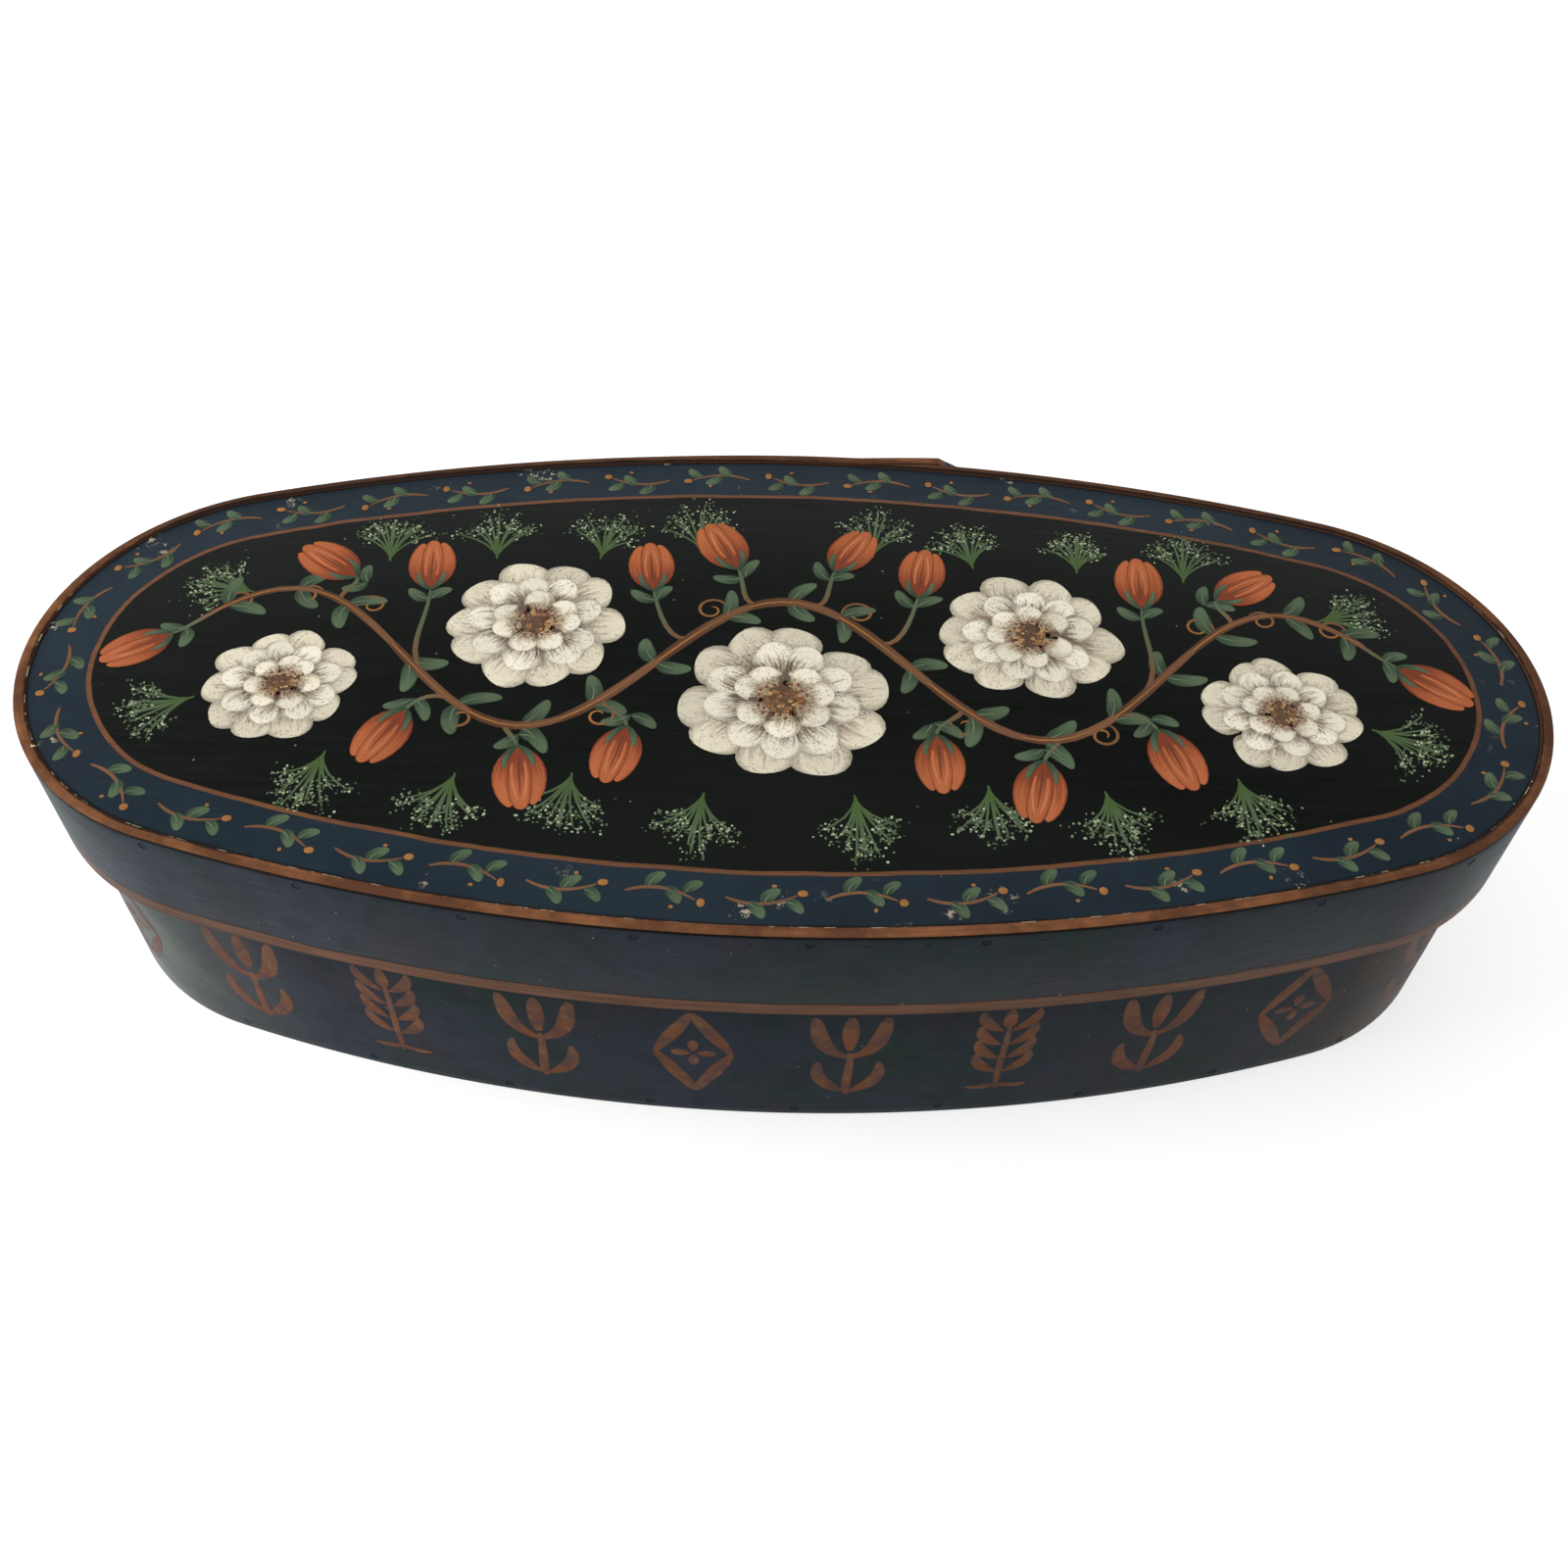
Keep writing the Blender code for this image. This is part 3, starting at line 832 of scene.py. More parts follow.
def strayed_ground(wire, own, colour):
    """The lid's ground colour strays over the rim's inner side, and furthest at the back. The rim
    is also darkened towards the back and the right end as painted shade.
    """
    x, y, z = wire.split(own)[:3]
    distance, drawn = distances(wire, own, 70.0, 0.6)
    far = wire.ease(y, *TOWARDS_BACK)
    at_end = wire.ease(wire.size(x), *TOWARDS_ENDS)
    kept = wire.times(wire.larger(far, wire.times(at_end, 0.5)), -STRAYS_FURTHER)
    limit = wire.plus(kept, RIM_PAINTED_TO)
    over = wire.ease(wire.minus(drawn, limit), -0.15 * MM, 0.25 * MM, 0.0, 0.9)
    on_top = wire.ease(z, BOX_HEIGHT - 2 * MM, BOX_HEIGHT - 1 * MM)
    right_end = wire.ease(x, *SHADED_RIGHT_END, 0.0, 0.35)
    inside_lap = wire.ease(distance, -1 * MM, 0.2 * MM, 0.15, 1.0)
    # Painted shade: the rim darkens towards the back and towards the right end.
    painted_shade = wire.larger(wire.times(far, 0.62), right_end)
    shaded_rim = wire.mix(wire.times(painted_shade, inside_lap), colour, DARK_LINE)
    return wire.mix(wire.times(over, on_top), shaded_rim, DEEP_LINE)


def primer_dashes(wire, flat, own, colour):
    along = wire.split(flat)[0]
    front = wire.ease(wire.split(own)[1], 0.0, 40 * MM, 0.62, 0.0)
    broken = wire.ease(wire.noise(wire.join(along, 0.0), 170.0, 3.0, 0.6), 0.52, 0.57)
    runs = wire.ease(wire.noise(wire.join(along, 4.0), 17.0, 1.0), 0.42, 0.52)
    shown = wire.times(wire.times(broken, runs), front)
    return wire.mix(shown, wire.mix(0.6, colour, DARK_LINE), PRIMER)


def rust_paint(name, chips, dashes=False):
    material, wire, shader = new_material(name, roughness=0.5, sheen=PAINT_SHEEN)
    flat = wire.uv("strip")
    own = wire.own_space()
    streaks, ridges = brushed(wire, flat, 1400.0, 22.0)
    rust = clouded(wire, own, 40.0, RIM_RUST, DARK_RUST)
    colour = wire.mix(wire.times(streaks, 0.55), rust, DARK_RUST)
    colour = strayed_ground(wire, own, colour)
    if dashes:
        colour = primer_dashes(wire, flat, own, colour)
    colour, chip = worn(wire, own, colour, chips, 0.4, 0.4, LINE_BLACK)
    colour = wire.mix(chip, colour, PRIMER)
    lay_on(wire, shader, colour, ridges, 0.08 * MM)
    return material


rim_paint = rust_paint("rust_edge", 0.35)
worn_corner = rust_paint("worn_corner", 0.5, dashes=True)
print("paint:", rim_paint.name, worn_corner.name)

# %% [markdown]
# Inside, the wood was never painted. The strip is straight-grained hardwood, so its grain follows
# the strip all the way round.

# %% Bare strip and bare board


def bare_wood_material(name, vector_of, rings, painted_above=None):
    """Old bare wood. A strip's inner face may be painted above some height on its flat map."""
    material, wire, shader = new_material(name, roughness=0.72, sheen=PAINT_SHEEN)
    colour, pores = wire.use(bare_wood, {
        "Vector": vector_of(wire), "Light": OLD_WOOD_LIGHT, "Dark": OLD_WOOD_DARK,
        "Rings per metre": rings,
    })[:2]
    if painted_above:
        up = wire.split(wire.uv("strip"))[1]
        colour = wire.mix(wire.ease(up, painted_above - 0.3 * MM, painted_above), colour, DARK_RUST)
    lay_on(wire, shader, colour, pores, 0.06 * MM)
    return material


RIM_OVERLAP = 1.5 * MM
lid_inside = bare_wood_material(
    "lid_inside", lambda wire: wire.uv("strip"), 60.0, LID_HEIGHT - RIM_OVERLAP
)
bare_strip = bare_wood_material("bare_strip", lambda wire: wire.uv("strip"), 60.0)
bare_board = bare_wood_material("bare_board", lambda wire: wire.own_space(), 34.0)
print("wood:", bare_strip.name, bare_board.name)

# %% [markdown]
# ## The bent strips
# Each strip is made the way a box maker makes it. It starts as a flat blank. Pointed arches are cut
# into one end, which leaves the fingers, and holes are drilled. The sharp corners are eased. Then
# the flat map is drawn, each face gets its paint, and only then is the strip bent.
#
# Blender's Curve modifier could bend it, but it measures along its own line, so the holes would
# drift off the pegs. A short loop that wraps each point round the hoop is exact.

# %% Flat blank
CORNER_EASE = 0.35 * MM
BEND_STEP = 3.2 * MM
CUT_OVERRUN = 2 * MM


def arch_outline(hoop):
    half_gap = (hoop.finger_pitch - FINGER_TIP_WIDTH) / 2
    shares = [index / ARCH_POINTS for index in range(ARCH_POINTS + 1)]
    side = [(FINGER_LENGTH * s, half_gap * (1 - s**ARCH_CURVE_POWER)) for s in shares]
    lower = [(x, -y) for x, y in side[:-1]]
    return [(-CUT_OVERRUN, -half_gap), *lower, *reversed(side), (-CUT_OVERRUN, half_gap)]


def flat_blank(name, hoop):
    """A straight strip lying flat, with its fingers at the -X end."""
    deselect_all()
    size = Vector((hoop.strip_length, hoop.height, BAND_THICKNESS))
    bpy.ops.mesh.primitive_cube_add(size=1, location=size / 2)
    blank = bpy.context.object
    blank.name = name
    blank.scale = size
    bpy.ops.object.transform_apply(location=True, rotation=True, scale=True)
    for gap in range(hoop.fingers + 1):
        arch = outline_plate(arch_outline(hoop), -CUT_OVERRUN, BAND_THICKNESS + CUT_OVERRUN)
        arch.data.transform(Matrix.Translation((0, gap * hoop.finger_pitch, 0)))
        cut(blank, arch)
    bevel(blank, CORNER_EASE)
    return blank


def drill(blank, hoop, height):
    """A hole for each peg, all cut at once: one drill is made, and then copied along the strip."""
    deselect_all()
    bpy.ops.mesh.primitive_cylinder_add(
        vertices=16, radius=PEG_RADIUS + PEG_HOLE_CLEARANCE,
        depth=BAND_THICKNESS + 2 * CUT_OVERRUN, location=(0, height, BAND_THICKNESS / 2),
    )
    bpy.ops.object.transform_apply(location=True)
    first = bpy.context.object
    drills = [first]
    for along in hoop.peg_places():
        drill_copy = bpy.data.objects.new("drill", first.data.copy())
        drill_copy.data.transform(Matrix.Translation((along, 0, 0)))
        bpy.context.scene.collection.objects.link(drill_copy)
        drills.append(drill_copy)
    bpy.data.objects.remove(drills.pop(0))
    for drill_copy in drills:
        drill_copy.select_set(True)
    bpy.context.view_layer.objects.active = drills[0]
    bpy.ops.object.join()
    cut(blank, drills[0])


# %% [markdown]
# The blank's long faces have no points along them, so it can't bend yet. A bisection every few
# millimetres adds them.

# %% Score, map and bend


def score(blank, hoop):
    activate(blank)
    steps = math.ceil(hoop.strip_length / BEND_STEP)
    bpy.ops.object.mode_set(mode="EDIT")
    for index in range(1, steps):
        bpy.ops.mesh.select_all(action="SELECT")
        bpy.ops.mesh.bisect(
            plane_co=(hoop.strip_length * index / steps, 0, 0), plane_no=(1, 0, 0),
            threshold=0.002 * MM,
        )
    bpy.ops.mesh.select_all(action="DESELECT")
    bpy.ops.mesh.select_face_by_sides(number=4, type="GREATER")
    bpy.ops.mesh.quads_convert_to_tris()
    leave_edit()


OUTSIDE, EDGE, CORNER, INSIDE = range(4)
EDGE_ZONE = 1 * MM


def map_and_paint(blank, hoop, paints):
    """Draws the flat map and picks each face's paint, while the strip is still flat."""
    mesh = blank.data
    for paint in paints:
        mesh.materials.append(paint)
    flat = mesh.uv_layers.new(name="strip")
    for face in mesh.polygons:
        normal = face.normal
        inland = EDGE_ZONE < face.center.y < hoop.height - EDGE_ZONE
        if normal.z > 0.8 or inland and normal.z > -0.4:
            face.material_index = OUTSIDE
        elif normal.z < -0.4:
            face.material_index = INSIDE
        elif normal.y > 0.4 or normal.y < -0.4:
            face.material_index = EDGE if normal.z > -0.2 else CORNER
        else:
            face.material_index = OUTSIDE
        for loop in face.loop_indices:
            x, y, z = mesh.vertices[mesh.loops[loop].vertex_index].co
            across = y
            if face.material_index in (EDGE, CORNER):
                across = y + (BAND_THICKNESS - z if y > hoop.height / 2 else z - BAND_THICKNESS)
            flat.data[loop].uv = (x, across)


def bend(blank, hoop):
    for vertex in blank.data.vertices:
        along, height, depth = vertex.co
        through = depth / BAND_THICKNESS * hoop.thickness_at(along)
        vertex.co = hoop.place(along, height, hoop.lift_at(along) + through)


def make_band(name, node, body, hoop, peg_height, paints):
    band = flat_blank(name, hoop)
    drill(band, hoop, peg_height)
    score(band, hoop)
    map_and_paint(band, hoop, paints)
    bend(band, hoop)
    smooth(band)
    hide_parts(node)
    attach(band, body)
    print(name, "has", len(band.data.polygons), "faces")


make_band(
    "lid_bent_strip", "lid_band", "lid", lid_hoop, LID_HEIGHT - PEG_LEVEL,
    (lid_paint, rim_paint, worn_corner, lid_inside),
)
make_band(
    "base_bent_strip", "base_band", "base", base_hoop, BASE_FLOOR / 2,
    (base_paint, rim_paint, worn_corner, bare_strip),
)

# %% [markdown]
# ## Pegs and tacks
# The pegs' ends are flush and painted over with the rest of the side, so each shows only as a faint
# dark disc. The CAD pegs have the right shape, and they only get their paint.

# %% Painted pegs


def peg_paint():
    material, wire, shader = new_material("painted_peg", roughness=0.55, sheen=PAINT_SHEEN)
    own = wire.own_space()
    patches = wire.noise(own, 900.0, 3.0, 0.6)
    on_lid = wire.ease(wire.split(own)[2], LID_FOOT, LID_FOOT + 5 * MM)
    slate = slate_ground(wire, own)
    # The pegs on the base carry the same painted sheen at the left end as the side round them.
    ground = wire.mix(on_lid, sheen_and_brown_ends(wire, own, slate), slate)
    shown = wire.times(wire.times(shown_marks(wire, own), on_lid), 0.85)
    colour = wire.mix(shown, ground, wire.mix(wire.ease(patches, 0.4, 0.7), PEG_DARK, TEAL_SLATE))
    lay_on(wire, shader, colour, patches, 0.08 * MM)
    return material


PEG_DARK = pigment(33, 39, 43)
painted_peg = peg_paint()
for name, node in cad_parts.items():
    if "_peg_" in name:
        node.data.materials.clear()
        node.data.materials.append(painted_peg)
print("pegs painted")

# %% [markdown]
# A copper tack has a low domed head, a shank, and a tip beaten over inside. One is modelled from a
# flattened half ball and two cylinders, standing up at the origin, and then copied to each CAD
# tack. A tack's place is worked out on its hoop, and it points straight out of the hoop.

# %% Copper tacks
TACK_HEAD_RADIUS = 1.8 * MM
TACK_HEAD_HEIGHT = 0.5 * MM
TACK_SHANK_RADIUS = 0.6 * MM
TACK_CLINCH_RADIUS = 1.1 * MM
TACK_CLINCH_HEIGHT = 0.3 * MM
TACK_SEAT_GAP = 0.1 * MM
TACK_FROM_TIP = 6 * MM
TACK_FROM_FEATHER = 5 * MM
LID_LAP_TACK_SHARES = (0.32, 0.82)


def one_tack():
    """A tack whose head points to +Z, with the strip's outer face at z = 0."""
    inside = -(2 * BAND_THICKNESS + LAYER_GAP) - TACK_SEAT_GAP
    deselect_all()
    bpy.ops.mesh.primitive_uv_sphere_add(segments=24, ring_count=10, radius=TACK_HEAD_RADIUS)
    head = bpy.context.object
    edit_all()
    bpy.ops.mesh.bisect(plane_co=(0, 0, 0), plane_no=(0, 0, 1), use_fill=True, clear_inner=True)
    bpy.ops.mesh.select_all(action="SELECT")
    bpy.ops.transform.resize(value=(1, 1, TACK_HEAD_HEIGHT / TACK_HEAD_RADIUS))
    leave_edit()
    lowest = min(vertex.co.z for vertex in head.data.vertices)
    head.data.transform(Matrix.Translation((0, 0, TACK_SEAT_GAP - lowest)))
    bpy.ops.mesh.primitive_cylinder_add(
        vertices=12, radius=TACK_SHANK_RADIUS, depth=TACK_SEAT_GAP - inside,
        location=(0, 0, (TACK_SEAT_GAP + inside) / 2),
    )
    shank = bpy.context.object
    bpy.ops.mesh.primitive_cylinder_add(
        vertices=16, radius=TACK_CLINCH_RADIUS, depth=TACK_CLINCH_HEIGHT,
        location=(0, 0, inside - TACK_CLINCH_HEIGHT / 2),
    )
    clinch = bpy.context.object
    bevel(clinch, TACK_CLINCH_HEIGHT / 3)
    for part in (head, shank, clinch):
        part.select_set(True)
    bpy.context.view_layer.objects.active = head
    bpy.ops.object.transform_apply(location=True, rotation=False, scale=True)
    bpy.ops.object.join()
    return head


def copper_paint():
    """Dull copper with paint left on it in patches."""
    material, wire, shader = new_material("tack_copper", roughness=0.45)
    own = wire.own_space()
    patches = wire.noise(own, 700.0, 4.0, 0.6)
    painted = wire.ease(patches, 0.44, 0.56)
    tarnish = wire.mix(wire.noise(own, 2200.0, 3.0), COPPER, TARNISH)
    lay_on(wire, shader, wire.mix(painted, tarnish, TEAL_SLATE), patches, 0.10 * MM)
    wire.feed(shader.inputs["Metallic"], wire.minus(1.0, painted))
    return material


COPPER = pigment(172, 104, 70)
TARNISH = pigment(92, 56, 44)


def tack_places(hoop, lap_heights):
    before_feather = LAP_LENGTH - FEATHER_LENGTH - TACK_FROM_FEATHER
    fingers = [(index + 0.5) * hoop.finger_pitch for index in range(hoop.fingers)]
    return [(TACK_FROM_TIP, height) for height in fingers] + [
        (before_feather, height) for height in lap_heights
    ]


def set_tacks(prefix, body, hoop, places, pattern, paint):
    for number, (along, height) in enumerate(places, 1):
        tack = bpy.data.objects.new(f"{prefix}_copper_{number}", pattern.data.copy())
        bpy.context.scene.collection.objects.link(tack)
        seat = hoop.place(along, height, hoop.outer_face(along))
        outward = (hoop.place(along, height, 1) - hoop.place(along, height, 0)).normalized()
        turn = outward.to_track_quat("Z", "Y").to_matrix().to_4x4()
        tack.data.transform(Matrix.Translation(seat) @ turn)
        tack.data.materials.append(paint)
        smooth(tack, ROUND_ANGLE)
        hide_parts(f"{prefix}_{number}")
        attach(tack, body)


tack_pattern = one_tack()
tack_copper = copper_paint()
lid_lap_heights = [share * (LID_BOARD_FOOT - LID_FOOT) for share in LID_LAP_TACK_SHARES]
base_lap_heights = [(index + 0.5) * base_hoop.finger_pitch for index in range(base_hoop.fingers)]
set_tacks("lid_tack", "lid", lid_hoop, tack_places(lid_hoop, lid_lap_heights),
          tack_pattern, tack_copper)
set_tacks("base_tack", "base", base_hoop, tack_places(base_hoop, base_lap_heights),
          tack_pattern, tack_copper)
bpy.data.objects.remove(tack_pattern)

# %% [markdown]
# ## The boards
# A board is sawn to the inside of its hoop. The paint fills the joint between them, so the gap that
# shows is only a hair. The lid's board lies a hair below its rim too, which leaves the rim's inner
# corner free to chip.

# %% Boards
JOINT_HAIR = 0.06 * MM
BOARD_BELOW_RIM = 0.40 * MM
BOARD_STEP = 2.5 * MM
BOARD_EDGE_EASE = 0.25 * MM


def make_board(name, node, body, hoop, low, high, top_paint, underside_paint):
    steps = math.ceil(hoop.turn / BOARD_STEP)
    outline = []
    for index in range(steps):
        along = hoop.turn * index / steps
        outline.append(hoop.place(along, 0, hoop.inner_face(along) - JOINT_HAIR))
    board = outline_plate(outline, low, high)
    board.name = name
    bevel(board, BOARD_EDGE_EASE)
    board.data.materials.append(top_paint)
    board.data.materials.append(underside_paint)
    for face in board.data.polygons:
        face.material_index = 1 if face.normal.z < -0.5 else 0
    smooth(board)
    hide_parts(node)
    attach(board, body)
    print(name, "has", len(board.data.polygons), "faces")


# %% [markdown]
# The lid's board has a black middle and a navy border that follows the rim. The border's width is
# read from the distance in from the edge, so it needs no drawing. A dark line of old dirt follows
# the joint with the rim. Small chips crowd along it, with a few groups of pale scuffs.

# %% Lid top paint
BORDER_WIDTH = 19 * MM
BORDER_LINE_WIDTH = 1.3 * MM
DIRT_WIDTH = 0.55 * MM


def scuffs(wire, own, distance):
    """A few small groups of pale flecks, near the rim."""
    flecks = wire.ease(wire.noise(own, 620.0, 3.0, 0.65), 0.54, 0.62)
    elsewhere = wire.stretch(own, (1.0, 1.0, 1.0), shift=(0.2, 0.9, 0.4))
    group = wire.ease(wire.noise(elsewhere, 62.0, 1.0), 0.66, 0.71)
    near = wire.ease(distance, BAND_THICKNESS + 3 * MM, BAND_THICKNESS + 16 * MM, 0.6, 0.0)
    return wire.times(wire.times(flecks, group), near)


def lid_top_paint():
    material, wire, shader = new_material("lid_top_paint", roughness=0.42, sheen=PAINT_SHEEN)
    own = wire.own_space()
    distance, drawn = distances(wire, own, 45.0, 0.55)
    streaks, ridges = brushed(wire, own, 1300.0, 30.0)
    ground = clouded(wire, own, 9.0, BLACK, WARM_BLACK)
    border = clouded(wire, own, 12.0, NAVY, DEEP_NAVY)
    inside = wire.ease(drawn, BORDER_WIDTH - 0.1 * MM, BORDER_WIDTH + 0.1 * MM)
    colour = wire.mix(inside, border, ground)
    from_line = wire.size(wire.minus(drawn, BORDER_WIDTH))
    half = BORDER_LINE_WIDTH / 2
    on_line = wire.ease(from_line, half - 0.12 * MM, half + 0.12 * MM, 0.9, 0.0)
    rust = wire.mix(wire.times(streaks, 0.6), RUST, DARK_RUST)
    colour = wire.mix(on_line, colour, rust)
    joint = BAND_THICKNESS + DIRT_WIDTH
    at_rim = wire.ease(drawn, joint - 0.3 * MM, joint + 0.3 * MM, 0.9, 0.0)
    colour = wire.mix(at_rim, colour, DEEP_LINE)
    colour = wire.mix(wire.times(streaks, 0.05), colour, SLATE)
    chips = wire.ease(distance, BAND_THICKNESS + 1 * MM, BAND_THICKNESS + 5 * MM, 0.35, 0.08)
    colour, chip = worn(wire, own, colour, chips, 1.0, 0.22, SLATE, 0.35)
    colour = wire.mix(scuffs(wire, own, distance), colour, PRIMER)
    colour = wire.mix(chip, colour, PRIMER)
    lay_on(wire, shader, colour, ridges, 0.07 * MM, wire.ease(ridges, 0.3, 0.7, 0.34, 0.48))
    return material


LID_TOP = BOX_HEIGHT - BOARD_BELOW_RIM
make_board(
    "lid_top_board", "lid_board", "lid", lid_hoop,
    LID_BOARD_FOOT, LID_TOP, lid_top_paint(), bare_board,
)
make_board(
    "base_bottom_board", "base_board", "base", base_hoop,
    0, BASE_FLOOR, bare_board, bare_board,
)

# %% [markdown]
# ## Brush strokes
# The picture on the lid is built up from single strokes, as a decorative painter lays them. A
# stroke is a very thin pad of paint, fattest in the middle, with a flat underside. One is modelled
# as a small grid whose middle is raised and whose border is filled. Every stroke in the picture is
# a copy of it, with its points moved onto the stroke's own line.
#
# Each copy carries three values of its own: the colour that the brush started with, the colour on
# its tip, and a number that makes its bristle marks differ from its neighbours'.

# %% One stroke and one dot
LENS_POWER = 5


def fit_unit(unit):
    """Gives a unit its map and its three values, and returns its mesh."""
    mesh = unit.data
    while mesh.uv_layers:
        mesh.uv_layers.remove(mesh.uv_layers[0])
    chart = mesh.uv_layers.new(name="stroke")
    for loop in mesh.loops:
        x, y, _ = mesh.vertices[loop.vertex_index].co
        chart.data[loop.index].uv = (x, (y + 1) / 2)
    for name, kind in (("base", "FLOAT_COLOR"), ("tip", "FLOAT_COLOR"), ("seed", "FLOAT")):
        mesh.attributes.new(name, kind, "POINT")
    bpy.data.objects.remove(unit)
    return mesh


def stroke_unit(stations, rows):
    """A stroke one long and two wide, from x = 0 to 1 and y = -1 to 1, and one high."""
    deselect_all()
    bpy.ops.mesh.primitive_grid_add(x_subdivisions=stations, y_subdivisions=rows, size=2)
    unit = bpy.context.object
    edit_all()
    bpy.ops.mesh.region_to_loop()
    bpy.ops.mesh.edge_face_add()
    leave_edit()
    for vertex in unit.data.vertices:
        share, side = (1 + math.sin(math.pi / 2 * vertex.co.x)) / 2, vertex.co.y
        rise = math.sqrt(max(1 - side * side, 0)) * (1 - abs(2 * share - 1) ** LENS_POWER)
        vertex.co = (share, side, rise)
    edit_all()
    bpy.ops.mesh.normals_make_consistent(inside=False)
    leave_edit()
    return fit_unit(unit)


def dot_unit():
    """The upper half of a coarse ball, closed underneath."""
    deselect_all()
    bpy.ops.mesh.primitive_uv_sphere_add(segments=8, ring_count=4, radius=1)
    unit = bpy.context.object
    edit_all()
    bpy.ops.mesh.bisect(plane_co=(0, 0, 0), plane_no=(0, 0, 1), use_fill=True, clear_inner=True)
    leave_edit()
    return fit_unit(unit)


BROAD_STROKE = stroke_unit(12, 4)
FINE_STROKE = stroke_unit(6, 2)
LONG_STROKE = stroke_unit(28, 2)
DOT = dot_unit()
for unit in (BROAD_STROKE, FINE_STROKE, LONG_STROKE, DOT):
    print("unit faces:", len(unit.polygons))

# %% [markdown]
# A stroke needs a line and a width that swells along it. A line is a Bezier curve through four
# points. A petal swells towards its tip and ends round, a leaf swells early and ends in a point,
# and a stem hardly swells at all.

# %% Lines and swells


def bezier(first, second, third, fourth):
    def line(share):
        rest = 1 - share
        return (
            rest**3 * first + 3 * rest**2 * share * second
            + 3 * rest * share**2 * third + share**3 * fourth
        )
    return line


def swelling(peak, start, end):
    """A width from start to 1 at the peak, and round again to end."""
    def swell(share):
        if share < peak:
            return start + (1 - start) * math.sin(math.pi / 2 * share / peak)
        past = (share - peak) / (1 - peak)
        return end + (1 - end) * math.sqrt(max(1 - past * past, 0))
    return swell


PETAL = swelling(0.66, 0.22, 0.10)
LEAF = swelling(0.38, 0.10, 0.03)
STEM = swelling(0.30, 0.55, 0.30)
COMMA = swelling(0.22, 0.45, 0.05)
FAT = swelling(0.50, 0.35, 0.12)


class Spot:
    """A place to draw at, in millimetres, with a direction, a size, and a side to lean to."""

    def __init__(self, x, y, turn=0.0, size=1.0, flip=1):
        self.x, self.y, self.size, self.flip = x, y, size, flip
        self.turn = math.radians(turn)

    def at(self, x, y):
        x, y = x * self.size, y * self.size * self.flip
        cos, sin = math.cos(self.turn), math.sin(self.turn)
        return Vector((self.x + x * cos - y * sin, self.y + x * sin + y * cos)) * MM

    def line(self, *points):
        return bezier(*(self.at(x, y) for x, y in points))


# %% [markdown]
# ## Laying strokes on a surface
# Strokes of one kind are gathered into one mesh, which keeps the number of pieces small. Each
# new stroke lies a hair higher than the last, so where two cross, the later one covers the earlier,
# as wet paint over dry. A surface is a function from a flat place to a place in the box's space,
# so the same strokes can go on the flat lid or round the curved side.

# %% Painting
STROKE_THICKNESS = 0.05 * MM
DOT_THICKNESS = 0.09 * MM


def on_lid(x, y, rise):
    return Vector((x, y, LID_TOP + rise))


def on_base(along, height, rise):
    return base_hoop.place(along, height, base_hoop.outer_face(along) + rise)


class Painting:
    """Strokes and dots of one kind on one surface."""

    def __init__(self, surface, seed, lowest=0.01, highest=0.10):
        self.surface, self.dice = surface, random.Random(seed)
        self.shape = bmesh.new()
        self.lowest, self.highest, self.count = lowest * MM, highest * MM, 0

    def stamp(self, unit, move, base, tip, level):
        mesh = unit.copy()
        height = self.lowest + (self.highest - self.lowest) * level
        for vertex in mesh.vertices:
            x, y, rise = move(*vertex.co)
            vertex.co = self.surface(x, y, height + rise)
        size = len(mesh.vertices)
        glow = self.dice.uniform(0.90, 1.10)
        for name, colour in (("base", base), ("tip", tip)):
            values = [*(channel * glow for channel in colour[:3]), 1.0] * size
            mesh.attributes[name].data.foreach_set("color", values)
        mesh.attributes["seed"].data.foreach_set("value", [self.dice.random()] * size)
        self.shape.from_mesh(mesh)
        bpy.data.meshes.remove(mesh)
        self.count += 1

    def stroke(self, line, width, swell, base, tip, level=0.5, unit=None):
        """A stroke along the line. Its width is in millimetres, and its level from 0 to 1."""
        def move(share, side, rise):
            centre = line(share)
            along = (line(min(share + 0.01, 1)) - line(max(share - 0.01, 0))).normalized()
            half = width * MM / 2 * swell(share)
            x = centre.x - along.y * side * half
            y = centre.y + along.x * side * half
            return x, y, rise * STROKE_THICKNESS
        self.stamp(unit or BROAD_STROKE, move, base, tip, level)

    def dot(self, centre, radius, colour, level=1.0):
        """A dot of this radius, in millimetres."""
        stretch = self.dice.uniform(0.8, 1.2)

        def move(x, y, rise):
            return (
                centre.x + x * radius * stretch * MM,
                centre.y + y * radius / stretch * MM,
                rise * DOT_THICKNESS * min(radius, 1.0),
            )
        self.stamp(DOT, move, colour, colour, level)

    def finish(self, name, body, paint):
        mesh = bpy.data.meshes.new(name)
        self.shape.to_mesh(mesh)
        self.shape.free()
        piece = bpy.data.objects.new(name, mesh)
        bpy.context.scene.collection.objects.link(piece)
        mesh.materials.append(paint)
        smooth(piece, ROUND_ANGLE)
        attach(piece, body)
        print(name, "has", self.count, "strokes and", len(mesh.polygons), "faces")


# %% [markdown]
# ## The paint of a stroke
# A brush loaded with two colours leaves the first at the start of the stroke and the other at its
# end, mixed along the bristles. The paint gathers in a darker line at the stroke's sides, and where
# the brush runs dry, the ground shows between the hairs. This is one more shared effect, because
# the flowers and the side ornaments both use it.

# %% Loaded brush


